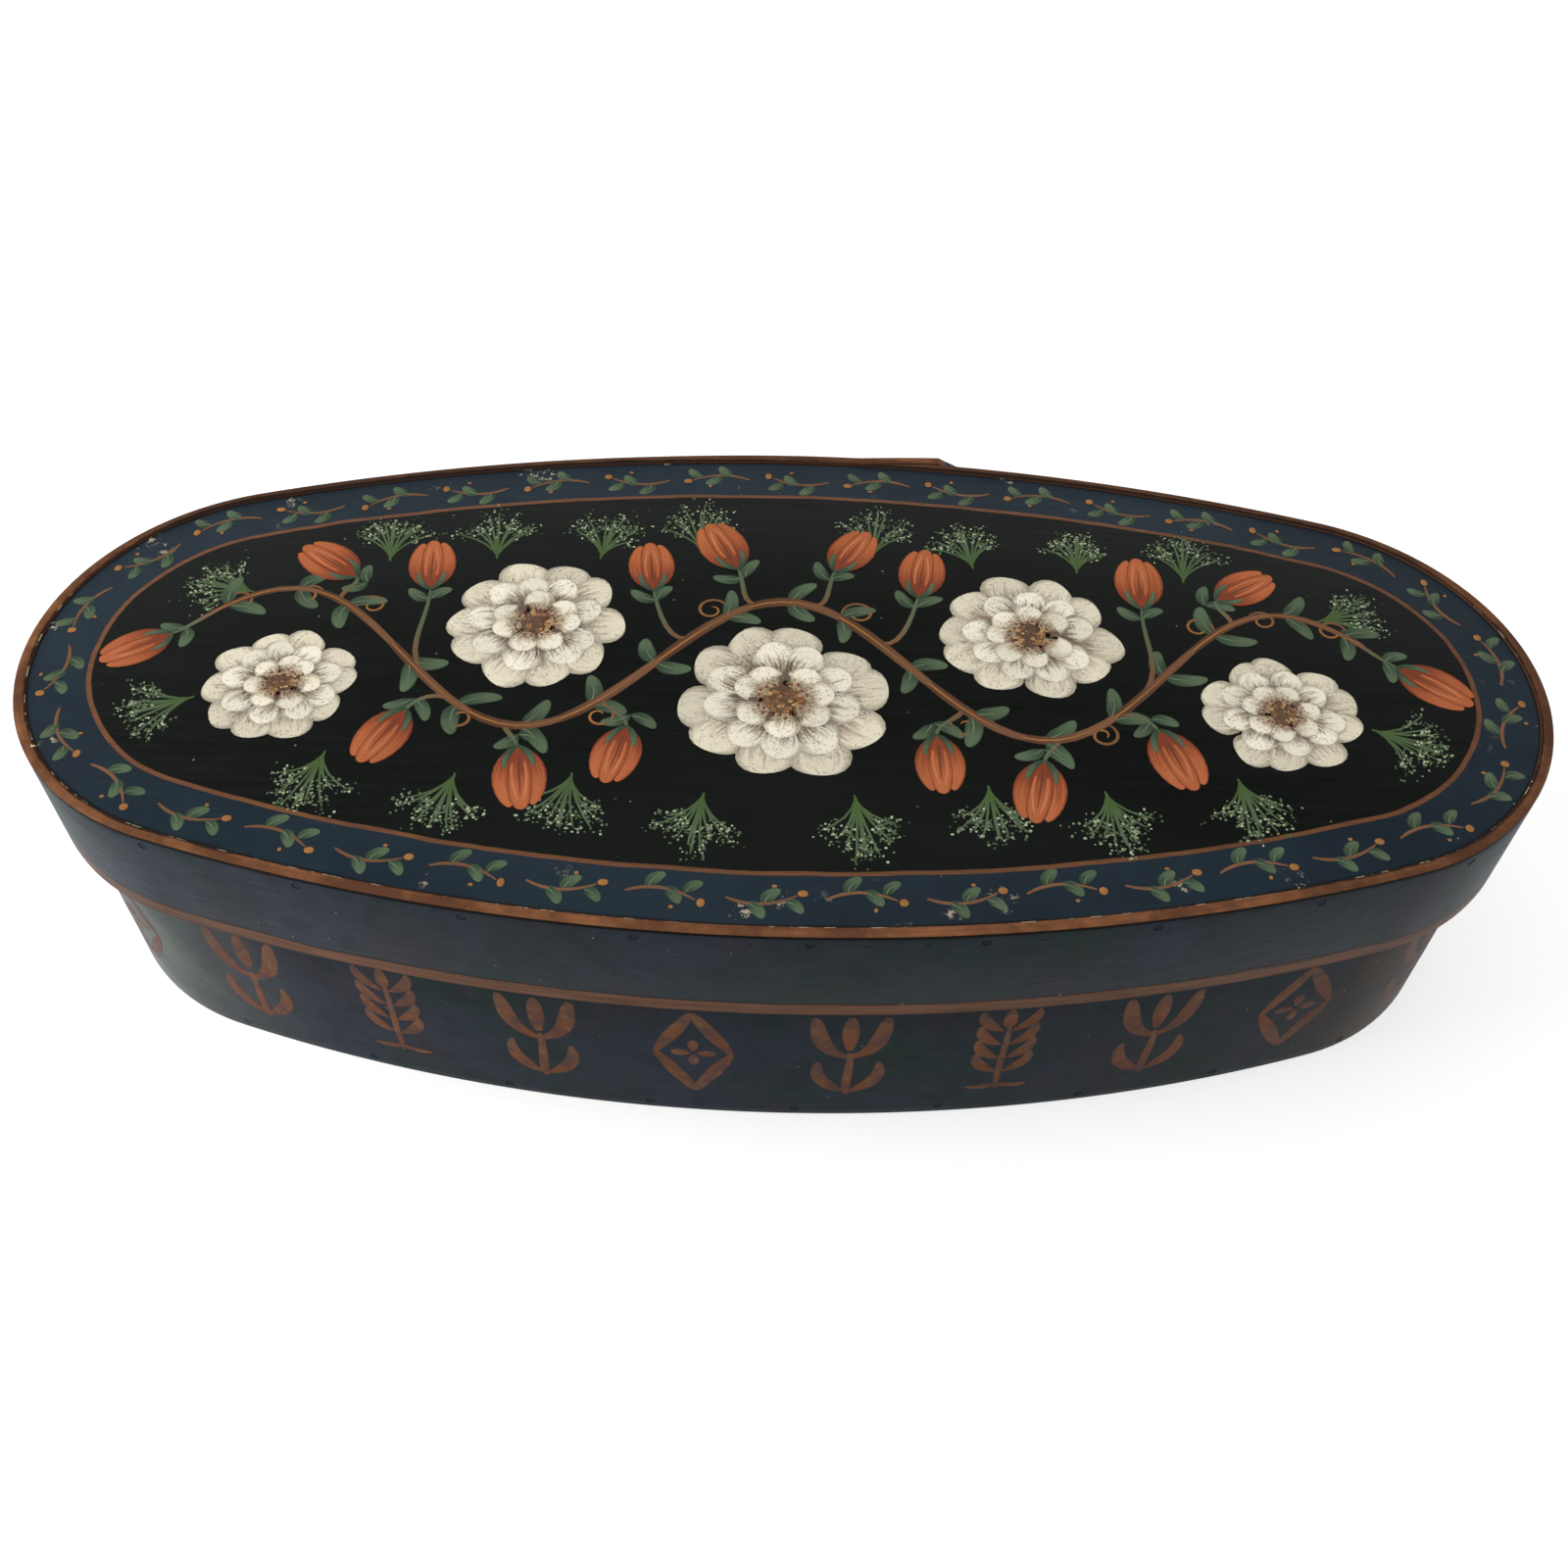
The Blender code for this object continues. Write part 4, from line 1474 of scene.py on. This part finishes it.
def build_loaded_brush():
    group, wire, given, out = new_group(
        "loaded_brush",
        {
            "Map": "Vector", "Seed": "Float", "Base": "Color", "Tip": "Color",
            "Ground": "Color", "Dryness": "Float", "Side tint": "Float",
        },
        {"Color": "Color", "Ridges": "Float", "Share": "Float"},
    )
    share, side = wire.split(given["Map"])[:2]
    hairs = wire.join(
        wire.times(share, 1.2), wire.times(side, 10.0),
        wire.times(given["Seed"], 61.0),
    )
    ridges = wire.noise(hairs, 1.5, 4.0, 0.62)
    uneven = wire.times(wire.minus(ridges, 0.5), 1.4)
    load = wire.ease(wire.plus(share, uneven), 0.20, 0.80)
    colour = wire.mix(load, given["Base"], given["Tip"])
    away = wire.size(wire.minus(wire.times(side, 2.0), 1.0))
    tint = wire.times(wire.ease(away, 0.62, 1.0), given["Side tint"])
    colour = wire.mix(tint, colour, wire.mix(0.45, given["Base"], given["Ground"]))
    dry = wire.times(wire.ease(ridges, 0.57, 0.66), wire.ease(share, 0.3, 1.0))
    dry = wire.times(dry, given["Dryness"])
    wire.feed(out.inputs["Color"], wire.mix(dry, colour, given["Ground"]))
    wire.feed(out.inputs["Ridges"], ridges)
    wire.feed(out.inputs["Share"], share)
    return group


loaded_brush = build_loaded_brush()
print("group:", loaded_brush.name)

# %% Stroke paints
STROKE_ROUGHNESS = 0.48
THIN_ENDS = (115 * MM, 180 * MM)


def thinned(wire, own, colour, ground):
    """Paint worn thin in patches, and nearly gone at the box's two ends."""
    x = wire.size(wire.split(own)[0])
    patchy = wire.ease(wire.noise(own, 170.0, 4.0, 0.65), 0.40, 0.66, 0.0, 0.55)
    faded = wire.larger(patchy, wire.ease(x, *THIN_ENDS, 0.0, 0.55))
    pale = wire.ease(wire.noise(own, 420.0, 3.0, 0.6), 0.56, 0.66, 0.0, 0.45)
    return wire.mix(faded, wire.mix(pale, colour, PALE_RUST), ground)


def stroke_paint(name, ground, dryness, side_tint, stipple=0.0, thin=False):
    material, wire, shader = new_material(name, STROKE_ROUGHNESS, sheen=PAINT_SHEEN)
    colour, ridges, share = wire.use(loaded_brush, {
        "Map": wire.uv("stroke"),
        "Seed": wire.carried("seed")["Fac"],
        "Base": wire.carried("base")["Color"],
        "Tip": wire.carried("tip")["Color"],
        "Ground": ground, "Dryness": dryness, "Side tint": side_tint,
    })[:3]
    own = wire.own_space()
    relief = ridges
    if thin:
        colour = thinned(wire, own, colour, ground)
    if stipple:
        grains = wire.noise(own, 1500.0, 3.0, 0.65)
        crowd = wire.noise(own, 130.0, 2.0, 0.5)
        near_base = wire.ease(share, 0.15, 0.75, 0.13, 0.0)
        grainy = wire.plus(wire.plus(grains, near_base), wire.times(crowd, 0.16))
        dark = wire.times(wire.ease(grainy, 0.66, 0.74), stipple)
        colour = wire.mix(dark, colour, STIPPLE_BROWN)
        light = wire.times(wire.ease(grains, 0.30, 0.38, 1.0, 0.0), stipple * 0.6)
        colour = wire.mix(light, colour, PALE_CREAM)
        relief = wire.plus(ridges, wire.times(grains, 0.8))
    colour, chip = worn(wire, own, colour, 0.10, 1.0, 0.35, ground)
    colour = wire.mix(wire.times(chip, 0.8), colour, ground)
    lay_on(wire, shader, colour, relief, 0.06 * MM)
    return material


CREAM = pigment(214, 206, 183)
PALE_CREAM = pigment(229, 222, 202)
TAN = pigment(166, 149, 120)
GREY_BROWN = pigment(132, 116, 98)
STIPPLE_BROWN = pigment(98, 84, 71)
ORANGE = pigment(174, 98, 61)
DEEP_ORANGE = pigment(124, 60, 40)
BRIGHT_ORANGE = pigment(190, 118, 80)
TIP_BROWN = pigment(92, 62, 46)
SAGE = pigment(84, 100, 76)
PALE_SAGE = pigment(122, 134, 106)
DARK_SAGE = pigment(54, 70, 54)
FERN_GREEN = pigment(70, 90, 52)
FERN_PALE = pigment(166, 176, 142)
VINE_BROWN = pigment(116, 81, 58)
DARK_VINE = pigment(84, 58, 42)
OCHRE = pigment(152, 104, 58)
PALE_OCHRE = pigment(190, 150, 98)
PALE_RUST = pigment(158, 118, 92)

flower_paint = stroke_paint("flower_paint", BLACK, 0.25, 0.55, stipple=0.65)
leaf_paint = stroke_paint("leaf_paint", BLACK, 0.55, 0.5)
bud_paint = stroke_paint("bud_paint", BLACK, 0.30, 0.7)
vine_paint = stroke_paint("vine_paint", BLACK, 0.45, 0.6)
border_paint = stroke_paint("border_paint", NAVY, 0.55, 0.4)
ornament_paint = stroke_paint("ornament_paint", SLATE, 0.75, 0.45, thin=True)
print("stroke paints made")

# %% [markdown]
# ## The running vine
# A running vine is the oldest way to fill a long field: one wave from end to end, with flowers in
# the hollows and side stems to both sides. It is drawn in overlapping strokes, each as long as a
# hand can pull in one go.

# %% Vine and side stems
VINE_WAVE = 136.0
VINE_SWING = 25.0
VINE_END = 158.0
VINE_REACH = 24.0
VINE_OVERLAP = 1.45
VINE_WIDTH = 3.6
VINE_TAPER = 1.4


def vine_at(x):
    return Vector((x, VINE_SWING * math.cos(2 * math.pi * x / VINE_WAVE))) * MM


def vine_direction(x):
    step = vine_at(x + 0.5) - vine_at(x - 0.5)
    return math.degrees(math.atan2(step.y, step.x))


def paint_vine(painting):
    start = -VINE_END
    while start < VINE_END:
        end = min(start + VINE_REACH * VINE_OVERLAP, VINE_END)
        middle = (start + end) / 2
        width = VINE_WIDTH - VINE_TAPER * abs(middle) / VINE_END

        def line(share, start=start, end=end):
            return vine_at(start + (end - start) * share)
        painting.stroke(line, width, STEM, DARK_VINE, VINE_BROWN, level=0.55)
        painting.stroke(line, width * 0.32, COMMA, OCHRE, VINE_BROWN, level=0.7)
        start += VINE_REACH


BUDS = (
    # leaves the vine at, place x and y, direction in degrees
    (6, 14, 39, 66), (24, 37, 29, 78), (92, 99, 27, 84), (122, 121, 31, 34),
    (150, 166, 5, -38), (46, 40, -25, -82), (70, 67, -33, -96), (86, 98, -21, -68),
)


def side_stem(painting, start, x, y, turn, flip):
    """A stem that leaves the vine at start and arrives at the bud from behind."""
    first = vine_at(start * flip)
    aim = math.radians(turn)
    last = Vector((x * flip, y)) * MM
    run = (last - first).length
    heading = math.radians(vine_direction(start))
    leave = Vector((math.cos(heading) * flip, math.sin(heading))) * run * 0.45
    arrive = Vector((math.cos(aim) * flip, math.sin(aim))) * run * 0.45
    line = bezier(first, first + leave, last - arrive, last)
    painting.stroke(line, 1.5, STEM, VINE_BROWN, SAGE, level=0.4)


vines = Painting(on_lid, 11)
paint_vine(vines)
for flip in (1, -1):
    for start, x, y, turn in BUDS:
        side_stem(vines, start, x, y, turn, flip)
print("vine strokes:", vines.count)

# %% [markdown]
# Tendrils curl off the vine where it would look bare. A tendril is one long stroke on a spiral that
# tightens towards its end.

# %% Tendrils
TENDRIL_TURNS = 1.35


def tendril(painting, spot, radius, turns):
    def line(share):
        angle = 2 * math.pi * turns * share
        shrink = radius * (1 - 0.78 * share)
        return spot.at(radius - shrink * math.cos(angle), shrink * math.sin(angle))
    painting.stroke(line, 0.9, COMMA, VINE_BROWN, OCHRE, level=0.3, unit=LONG_STROKE)


TENDRILS = (
    # leaves the vine at, direction in degrees, radius, side
    (16, 30, 5.0, 1), (52, 205, 5.0, -1), (84, -100, 4.2, 1), (116, 120, 4.6, -1),
    (128, -10, 4.0, 1), (154, 150, 4.4, -1),
)
for flip in (1, -1):
    for x, turn, radius, lean in TENDRILS:
        place = vine_at(x * flip) / MM
        heading = turn if flip > 0 else 180 - turn
        tendril(vines, Spot(place.x, place.y, heading, flip=lean * flip), radius, TENDRIL_TURNS)
vines.finish("garland_vine", "lid", vine_paint)

# %% [markdown]
# ## Blossoms
# Each blossom is three rings of petals and a dotted heart. The outer petals are laid first and the
# inner ones over them. Every petal starts brown near the heart and ends cream, and the finished
# flower is stippled with an almost dry brush, which gives it the speckle.

# %% Blossoms
HEART_DOTS = 40
RIM_DOTS = 22
RINGS = (
    # petals, inner radius, outer radius, width, first colour, last colour, level
    (10, 0.34, 1.00, 0.58, GREY_BROWN, CREAM, 0.05),
    (9, 0.24, 0.76, 0.46, STIPPLE_BROWN, PALE_CREAM, 0.35),
    (7, 0.14, 0.50, 0.36, TAN, PALE_CREAM, 0.65),
)


def blossom(painting, x, y, radius, turn):
    dice = painting.dice
    for ring, (petals, inner, outer, width, base, tip, level) in enumerate(RINGS):
        for number in range(petals):
            angle = turn + 360 / petals * (number + ring * 0.5) + dice.uniform(-4, 4)
            spot = Spot(x, y, angle, radius * dice.uniform(0.95, 1.04), dice.choice((1, -1)))
            lean = dice.uniform(0.02, 0.10)
            line = spot.line((inner, 0), (inner + 0.2, lean), (outer - 0.2, lean), (outer, 0))
            lift = level + 0.18 * number / petals
            painting.stroke(line, width * spot.size, PETAL, base, tip, level=lift)
            if ring < 2:
                fold = spot.line(
                    (inner + 0.05, 0.03), (inner + 0.2, 0.05 + lean),
                    (outer - 0.3, 0.04 + lean), (outer - 0.14, 0.02),
                )
                painting.stroke(fold, 0.05 * spot.size, COMMA, TAN, TAN, level=lift + 0.1,
                                unit=FINE_STROKE)
    painting.dot(Vector((x, y)) * MM, radius * 0.19, DARK_VINE, level=0.86)
    for number in range(HEART_DOTS):
        away = 0.17 * radius * math.sqrt(dice.random())
        angle = dice.uniform(0, 2 * math.pi)
        centre = Vector((x + away * math.cos(angle), y + away * math.sin(angle))) * MM
        colour = dice.choice((OCHRE, PALE_OCHRE, VINE_BROWN))
        painting.dot(centre, radius * dice.uniform(0.022, 0.038), colour)
    for number in range(RIM_DOTS):
        angle = 2 * math.pi * number / RIM_DOTS + dice.uniform(-0.08, 0.08)
        away = radius * dice.uniform(0.20, 0.25)
        centre = Vector((x + away * math.cos(angle), y + away * math.sin(angle))) * MM
        painting.dot(centre, radius * 0.02, DEEP_ORANGE)


blossoms = Painting(on_lid, 23, lowest=0.02, highest=0.20)
for x, y, radius, turn in (
    (0, -13, 27.5, 8), (67, 14, 24, 30), (-68, 14, 24.5, 0), (131, -13, 20.5, 14),
    (-132, -12, 20, 40),
):
    blossom(blossoms, x, y, radius, turn)
blossoms.finish("garland_blossoms", "lid", flower_paint)

# %% [markdown]
# ## Buds
# The orange buds are tulips in the old folk manner: a dark petal to each side, a bright one over
# them, a light stroke down the middle, and a green cup below.

# %% Buds


def bud(painting, spot):
    for side in (-1, 1):
        petal = spot.line((0, side * 0.5), (5, side * 6.5), (15, side * 7.0), (23.5, side * 3.2))
        painting.stroke(petal, 5.6 * spot.size, FAT, DEEP_ORANGE, ORANGE, level=0.1)
    body = spot.line((0, 0), (7, 0.4), (15, -0.4), (25, 0))
    painting.stroke(body, 9.0 * spot.size, FAT, DEEP_ORANGE, ORANGE, level=0.4)
    for side in (-1, 1):
        light = spot.line((5, side * 1.6), (10, side * 2.6), (16, side * 2.4), (22, side * 0.6))
        painting.stroke(light, 1.3 * spot.size, COMMA, ORANGE, BRIGHT_ORANGE, level=0.6)
    seam = spot.line((3, 0), (9, 0.3), (14, -0.2), (20, 0))
    painting.stroke(seam, 0.9 * spot.size, COMMA, TIP_BROWN, DEEP_ORANGE, level=0.7)
    for side in (-1, 1):
        cup = spot.line((-1.5, 0), (1, side * 3.0), (4, side * 4.6), (8, side * 4.4))
        painting.stroke(cup, 2.3 * spot.size, LEAF, DARK_SAGE, SAGE, level=0.8)


buds = Painting(on_lid, 31, lowest=0.06, highest=0.16)
for flip in (1, -1):
    for start, x, y, turn in BUDS:
        wander = buds.dice.uniform(-5, 5)
        heading = turn if flip > 0 else 180 - turn
        bud(buds, Spot(x * flip, y, heading + wander, buds.dice.uniform(0.76, 0.85)))
buds.finish("garland_buds", "lid", bud_paint)

# %% [markdown]
# ## Leaves and ferns
# Leaves sit in pairs along the vine, each with a pale vein. Between the buds there are ferns: a few
# thin green ribs, and over them a cloud of pale dots set down with the tip of the brush.

# %% Leaves
LEAF_SPACING = 17.0
LEAF_PAIRS_A_SIDE = 9
BUD_STALK = 5


def leaf(painting, spot, length, width, base=DARK_SAGE, tip=SAGE, level=0.3):
    body = spot.line((0, 0), (length * 0.3, width * 0.35), (length * 0.7, width * 0.3), (length, 0))
    painting.stroke(body, width * spot.size, LEAF, base, tip, level=level)
    vein = spot.line(
        (length * 0.08, 0), (length * 0.3, width * 0.3),
        (length * 0.6, width * 0.3), (length * 0.86, width * 0.08),
    )
    painting.stroke(vein, 0.45, COMMA, PALE_SAGE, SAGE, level=level + 0.3, unit=FINE_STROKE)


leaves = Painting(on_lid, 41, lowest=0.01, highest=0.09)
dice = leaves.dice
for step in range(-LEAF_PAIRS_A_SIDE, LEAF_PAIRS_A_SIDE + 1):
    x = step * LEAF_SPACING + dice.uniform(-2, 2)
    place, along = vine_at(x) / MM, vine_direction(x)
    for side in (1, -1):
        turn = along + side * dice.uniform(38, 60)
        spot = Spot(place.x, place.y, turn, flip=dice.choice((1, -1)))
        leaf(leaves, spot, dice.uniform(9.5, 12), dice.uniform(4.0, 5.0))
for flip in (1, -1):
    for start, x, y, turn in BUDS:
        heading = math.radians(turn)
        base_x = x - BUD_STALK * math.cos(heading)
        base_y = y - BUD_STALK * math.sin(heading)
        for side in (1, -1):
            spread = turn + side * dice.uniform(45, 65)
            heading_here = spread if flip > 0 else 180 - spread
            leaf(leaves, Spot(base_x * flip, base_y, heading_here), dice.uniform(7, 9), 3.8)
leaves.finish("garland_leaves", "lid", leaf_paint)

# %% Ferns
FERN_RIBS = 9
MIDDLE_RIB = 4
RIB_SPREAD = 18
RIB_DOTS = 24
FERNS = (
    # place x and y, direction in degrees
    (25, 52, 86), (52, 48, 98), (83, 47, 84), (113, 45, 84), (154, 25, 16),
    (20, -53, -80), (53, -48, -84), (83, -49, -78), (117, -43, -78), (160, -21, -26),
)


def fern(painting, spot):
    dice = painting.dice
    rib = spot.line((-7, 0), (-2, 0.6), (4, -0.4), (10, 0))
    painting.stroke(rib, 1.0, STEM, FERN_GREEN, SAGE, level=0.2)
    for number in range(FERN_RIBS):
        off_middle = number - MIDDLE_RIB
        turn = math.radians(RIB_SPREAD * off_middle + dice.uniform(-6, 6))
        reach = dice.uniform(8.0, 12.5) * (1.1 - 0.2 * abs(off_middle) / MIDDLE_RIB)
        x, y = reach * math.cos(turn), reach * math.sin(turn)
        line = spot.line((-6, 0), (-2, y * 0.1), (x * 0.5, y * 0.5), (x, y))
        painting.stroke(line, 0.7, STEM, FERN_GREEN, SAGE, level=0.3, unit=FINE_STROKE)
        for _ in range(RIB_DOTS):
            along = dice.uniform(0.45, 1.12)
            centre = spot.at(x * along + dice.gauss(0, 1.1), y * along + dice.gauss(0, 1.3))
            colour = dice.choice((FERN_PALE, PALE_SAGE, SAGE, SAGE, FERN_GREEN))
            painting.dot(centre, dice.uniform(0.18, 0.45), colour)


ferns = Painting(on_lid, 53, lowest=0.01, highest=0.03)
for flip in (1, -1):
    for x, y, turn in FERNS:
        heading = turn if flip > 0 else 180 - turn
        fern(ferns, Spot(x * flip, y, heading, ferns.dice.uniform(0.95, 1.1)))
ferns.finish("garland_ferns", "lid", leaf_paint)

# %% [markdown]
# ## The border
# Round the border runs a sprig that repeats: a bent twig, three leaves and a berry. Its place comes
# from the same oval as the rim, at the middle of the border, so it keeps its distance all round.

# %% Border sprigs
SPRIGS = 38


def sprig(painting, spot):
    twig = spot.line((0, 0), (5, 2.6), (11, 2.6), (17, -1))
    painting.stroke(twig, 1.0, STEM, VINE_BROWN, VINE_BROWN, level=0.2)
    for x, y, turn, length, width in (
        (5, 1.5, 50, 6.0, 3.4), (9, 2.0, -48, 6.0, 3.4), (14, 0.8, 40, 5.4, 3.1),
    ):
        turned = math.degrees(spot.turn) + turn * spot.flip
        leaf(painting, Spot(*spot.at(x, y) / MM, turned), length, width)
    for x, y, radius, colour in (
        (18.3, -1.6, 1.15, OCHRE), (18.1, -1.3, 0.45, PALE_OCHRE), (11.5, -3.6, 0.55, OCHRE),
    ):
        painting.dot(spot.at(x, y), radius, colour)


border = Painting(on_lid, 61, lowest=0.01, highest=0.08)
middle_line = Oval(BAND_THICKNESS / 2 + BORDER_WIDTH / 2 + DIRT_WIDTH / 2)
for number in range(SPRIGS):
    along = middle_line.length * number / SPRIGS
    place, outward = middle_line.frame_at(along)
    heading = math.degrees(math.atan2(outward.x, -outward.y)) + border.dice.uniform(-3, 3)
    side = 1 if number % 2 else -1
    sprig(border, Spot(place.x / MM, place.y / MM, heading, flip=side))
border.finish("border_sprigs", "lid", border_paint)

# %% [markdown]
# ## The side
# Round the box below the lid goes a row of rust ornaments, about as tall as the space allows.
# Three plain motifs take turns: a tulip sprig, an ear of wheat, and a lozenge. They keep clear of
# the lap.

# %% Side ornaments
ORNAMENT_FOOT = 11.0
ORNAMENT_HEIGHT = 38.0
ORNAMENT_SIZE = 1.12
ORNAMENT_PITCH = 40.5
CLEAR_OF_LAP = 28.0
CLEAR_OF_TIPS = 30.0
SIDE_RUST = pigment(130, 80, 50)


def rust_stroke(spot, points, width, swell):
    ornaments.stroke(spot.line(*points), width, swell, SIDE_RUST, LIGHT_RUST)


def side_tulip(x):
    spot = Spot(x, ORNAMENT_FOOT, 90, ORNAMENT_SIZE)
    rust_stroke(spot, ((0, 0), (6, 0.8), (12, -0.8), (19, 0)), 2.6, STEM)
    for side in (-1, 1):
        rust_stroke(spot, ((1, 0), (4, side * 6), (9, side * 8.5), (15, side * 7)), 4.2, LEAF)
        rust_stroke(spot, ((17, 0), (20, side * 8), (28, side * 7), (34, side * 8.5)), 4.8, FAT)
    rust_stroke(spot, ((20, 0), (25, 0), (29, 0), (34, 0)), 4.6, FAT)


def side_wheat(x):
    spot = Spot(x, ORNAMENT_FOOT, 90, ORNAMENT_SIZE)
    rust_stroke(spot, ((0, 0), (10, 0.6), (20, -0.6), (30, 0)), 2.0, STEM)
    for height in (8, 14, 20, 26):
        for side in (-1, 1):
            grain = (
                (height, side * 0.8), (height + 2, side * 5), (height + 5, side * 6.5),
                (height + 8.5, side * 6.5),
            )
            rust_stroke(spot, grain, 3.6, LEAF)
    rust_stroke(spot, ((27, 0), (29, 0), (32, 0), (35, 0)), 3.8, LEAF)
    for side in (-1, 1):
        foot = ((2, 0), (1, side * 3), (0.5, side * 5), (1.5, side * 7.5))
        rust_stroke(spot, foot, 2.2, COMMA)


def side_lozenge(x):
    middle = ORNAMENT_FOOT + ORNAMENT_HEIGHT / 2
    spot = Spot(x, middle, 90, ORNAMENT_SIZE)
    for up, side in ((1, 1), (1, -1), (-1, 1), (-1, -1)):
        arm = ((0, side * 9), (up * 5, side * 6.5), (up * 11, side * 3), (up * 17, 0))
        rust_stroke(spot, arm, 4.2, FAT)
    for turn in (0, 90, 180, 270):
        rust_stroke(Spot(x, middle, turn), ((0.8, 0), (2, 0), (4, 0), (6, 0)), 3.0, PETAL)


ornaments = Painting(on_base, 71, lowest=0.01, highest=0.05)
first = (FINGER_LENGTH + LAP_LENGTH) / MM / 2 + CLEAR_OF_LAP
room = base_hoop.turn / MM - first - CLEAR_OF_TIPS
count = round(room / ORNAMENT_PITCH)
for number in range(count + 1):
    place = first + room * number / count
    (side_tulip, side_wheat, side_tulip, side_lozenge)[number % 4](place)
ornaments.finish("side_ornaments", "base", ornament_paint)
print("ornaments round the side:", count + 1)

# %% [markdown]
# ## Floor and light
# The photograph has a plain white surround. The floor is pale, and seen straight on it glows a
# little, which brings it to white without putting more light on the box. The box's shadow still
# darkens it. Large soft lamps light the box, the stronger one from the left.

# %% Floor
FLOOR_HALF = 12.0
FLOOR_DROP = 0.1 * MM
FLOOR_COLOUR = (0.50, 0.50, 0.49, 1.0)
FLOOR_GLOW = 0.66
FAR_FLOOR_GLOW = 0.98
GLOW_GROWS = (0.6, 2.6)


def seen_directly(wire):
    path = wire.put("ShaderNodeLightPath").outputs
    glossy = wire.larger(path["Is Camera Ray"], path["Is Glossy Ray"])
    return wire.larger(glossy, path["Is Transmission Ray"])


def make_floor():
    deselect_all()
    bpy.ops.mesh.primitive_plane_add(size=2 * FLOOR_HALF, location=(0, 0, -FLOOR_DROP))
    floor = bpy.context.object
    floor.name = "floor"
    material, wire, shader = new_material("floor_paper", roughness=0.9)
    shader.inputs["Base Color"].default_value = FLOOR_COLOUR
    shader.inputs["Specular IOR Level"].default_value = 0.0
    away = wire.put("ShaderNodeVectorMath", {0: wire.own_space()}, operation="LENGTH")
    lit = wire.ease(away.outputs["Value"], *GLOW_GROWS, FLOOR_GLOW, FAR_FLOOR_GLOW)
    glow = wire.put("ShaderNodeEmission", {"Strength": wire.times(seen_directly(wire), lit)})
    both = wire.put("ShaderNodeAddShader", {0: shader.outputs[0], 1: glow.outputs[0]})
    wire.feed(material.node_tree.nodes["Material Output"].inputs["Surface"], both.outputs[0])
    floor.data.materials.append(material)


make_floor()

# %% Lamps and surround


def make_lamp(name, place, size, power):
    lamp = bpy.data.lights.new(name, "AREA")
    lamp.size, lamp.energy = size, power
    holder = bpy.data.objects.new(name, lamp)
    bpy.context.scene.collection.objects.link(holder)
    holder.location = place
    holder.rotation_euler = (-Vector(place)).to_track_quat("-Z", "Y").to_euler()


make_lamp("window_lamp", (-1.35, -0.08, 0.62), 1.0, 25.0)
make_lamp("far_window_lamp", (1.4, 0.05, 0.7), 1.0, 6.5)
make_lamp("ceiling_lamp", (0.0, 0.1, 1.6), 1.2, 9.0)
AMBIENT = 0.24


def make_surround():
    world = bpy.data.worlds.new("surround")
    bpy.context.scene.world = world
    world.use_nodes = True
    wire = Wiring(world.node_tree)
    background = world.node_tree.nodes["Background"]
    background.inputs["Color"].default_value = (1.0, 1.0, 1.0, 1.0)
    height = wire.split(wire.put("ShaderNodeTexCoord").outputs["Generated"])[2]
    backdrop = wire.ease(height, 0.15, 0.6, 1.0, 0.35)
    strength = wire.put("ShaderNodeMix", {0: seen_directly(wire), 2: AMBIENT, 3: backdrop})
    wire.feed(background.inputs["Strength"], strength.outputs[0])


make_surround()
bpy.context.scene.view_settings.view_transform = "Standard"
print("lamps:", [lamp.name for lamp in bpy.data.lights])
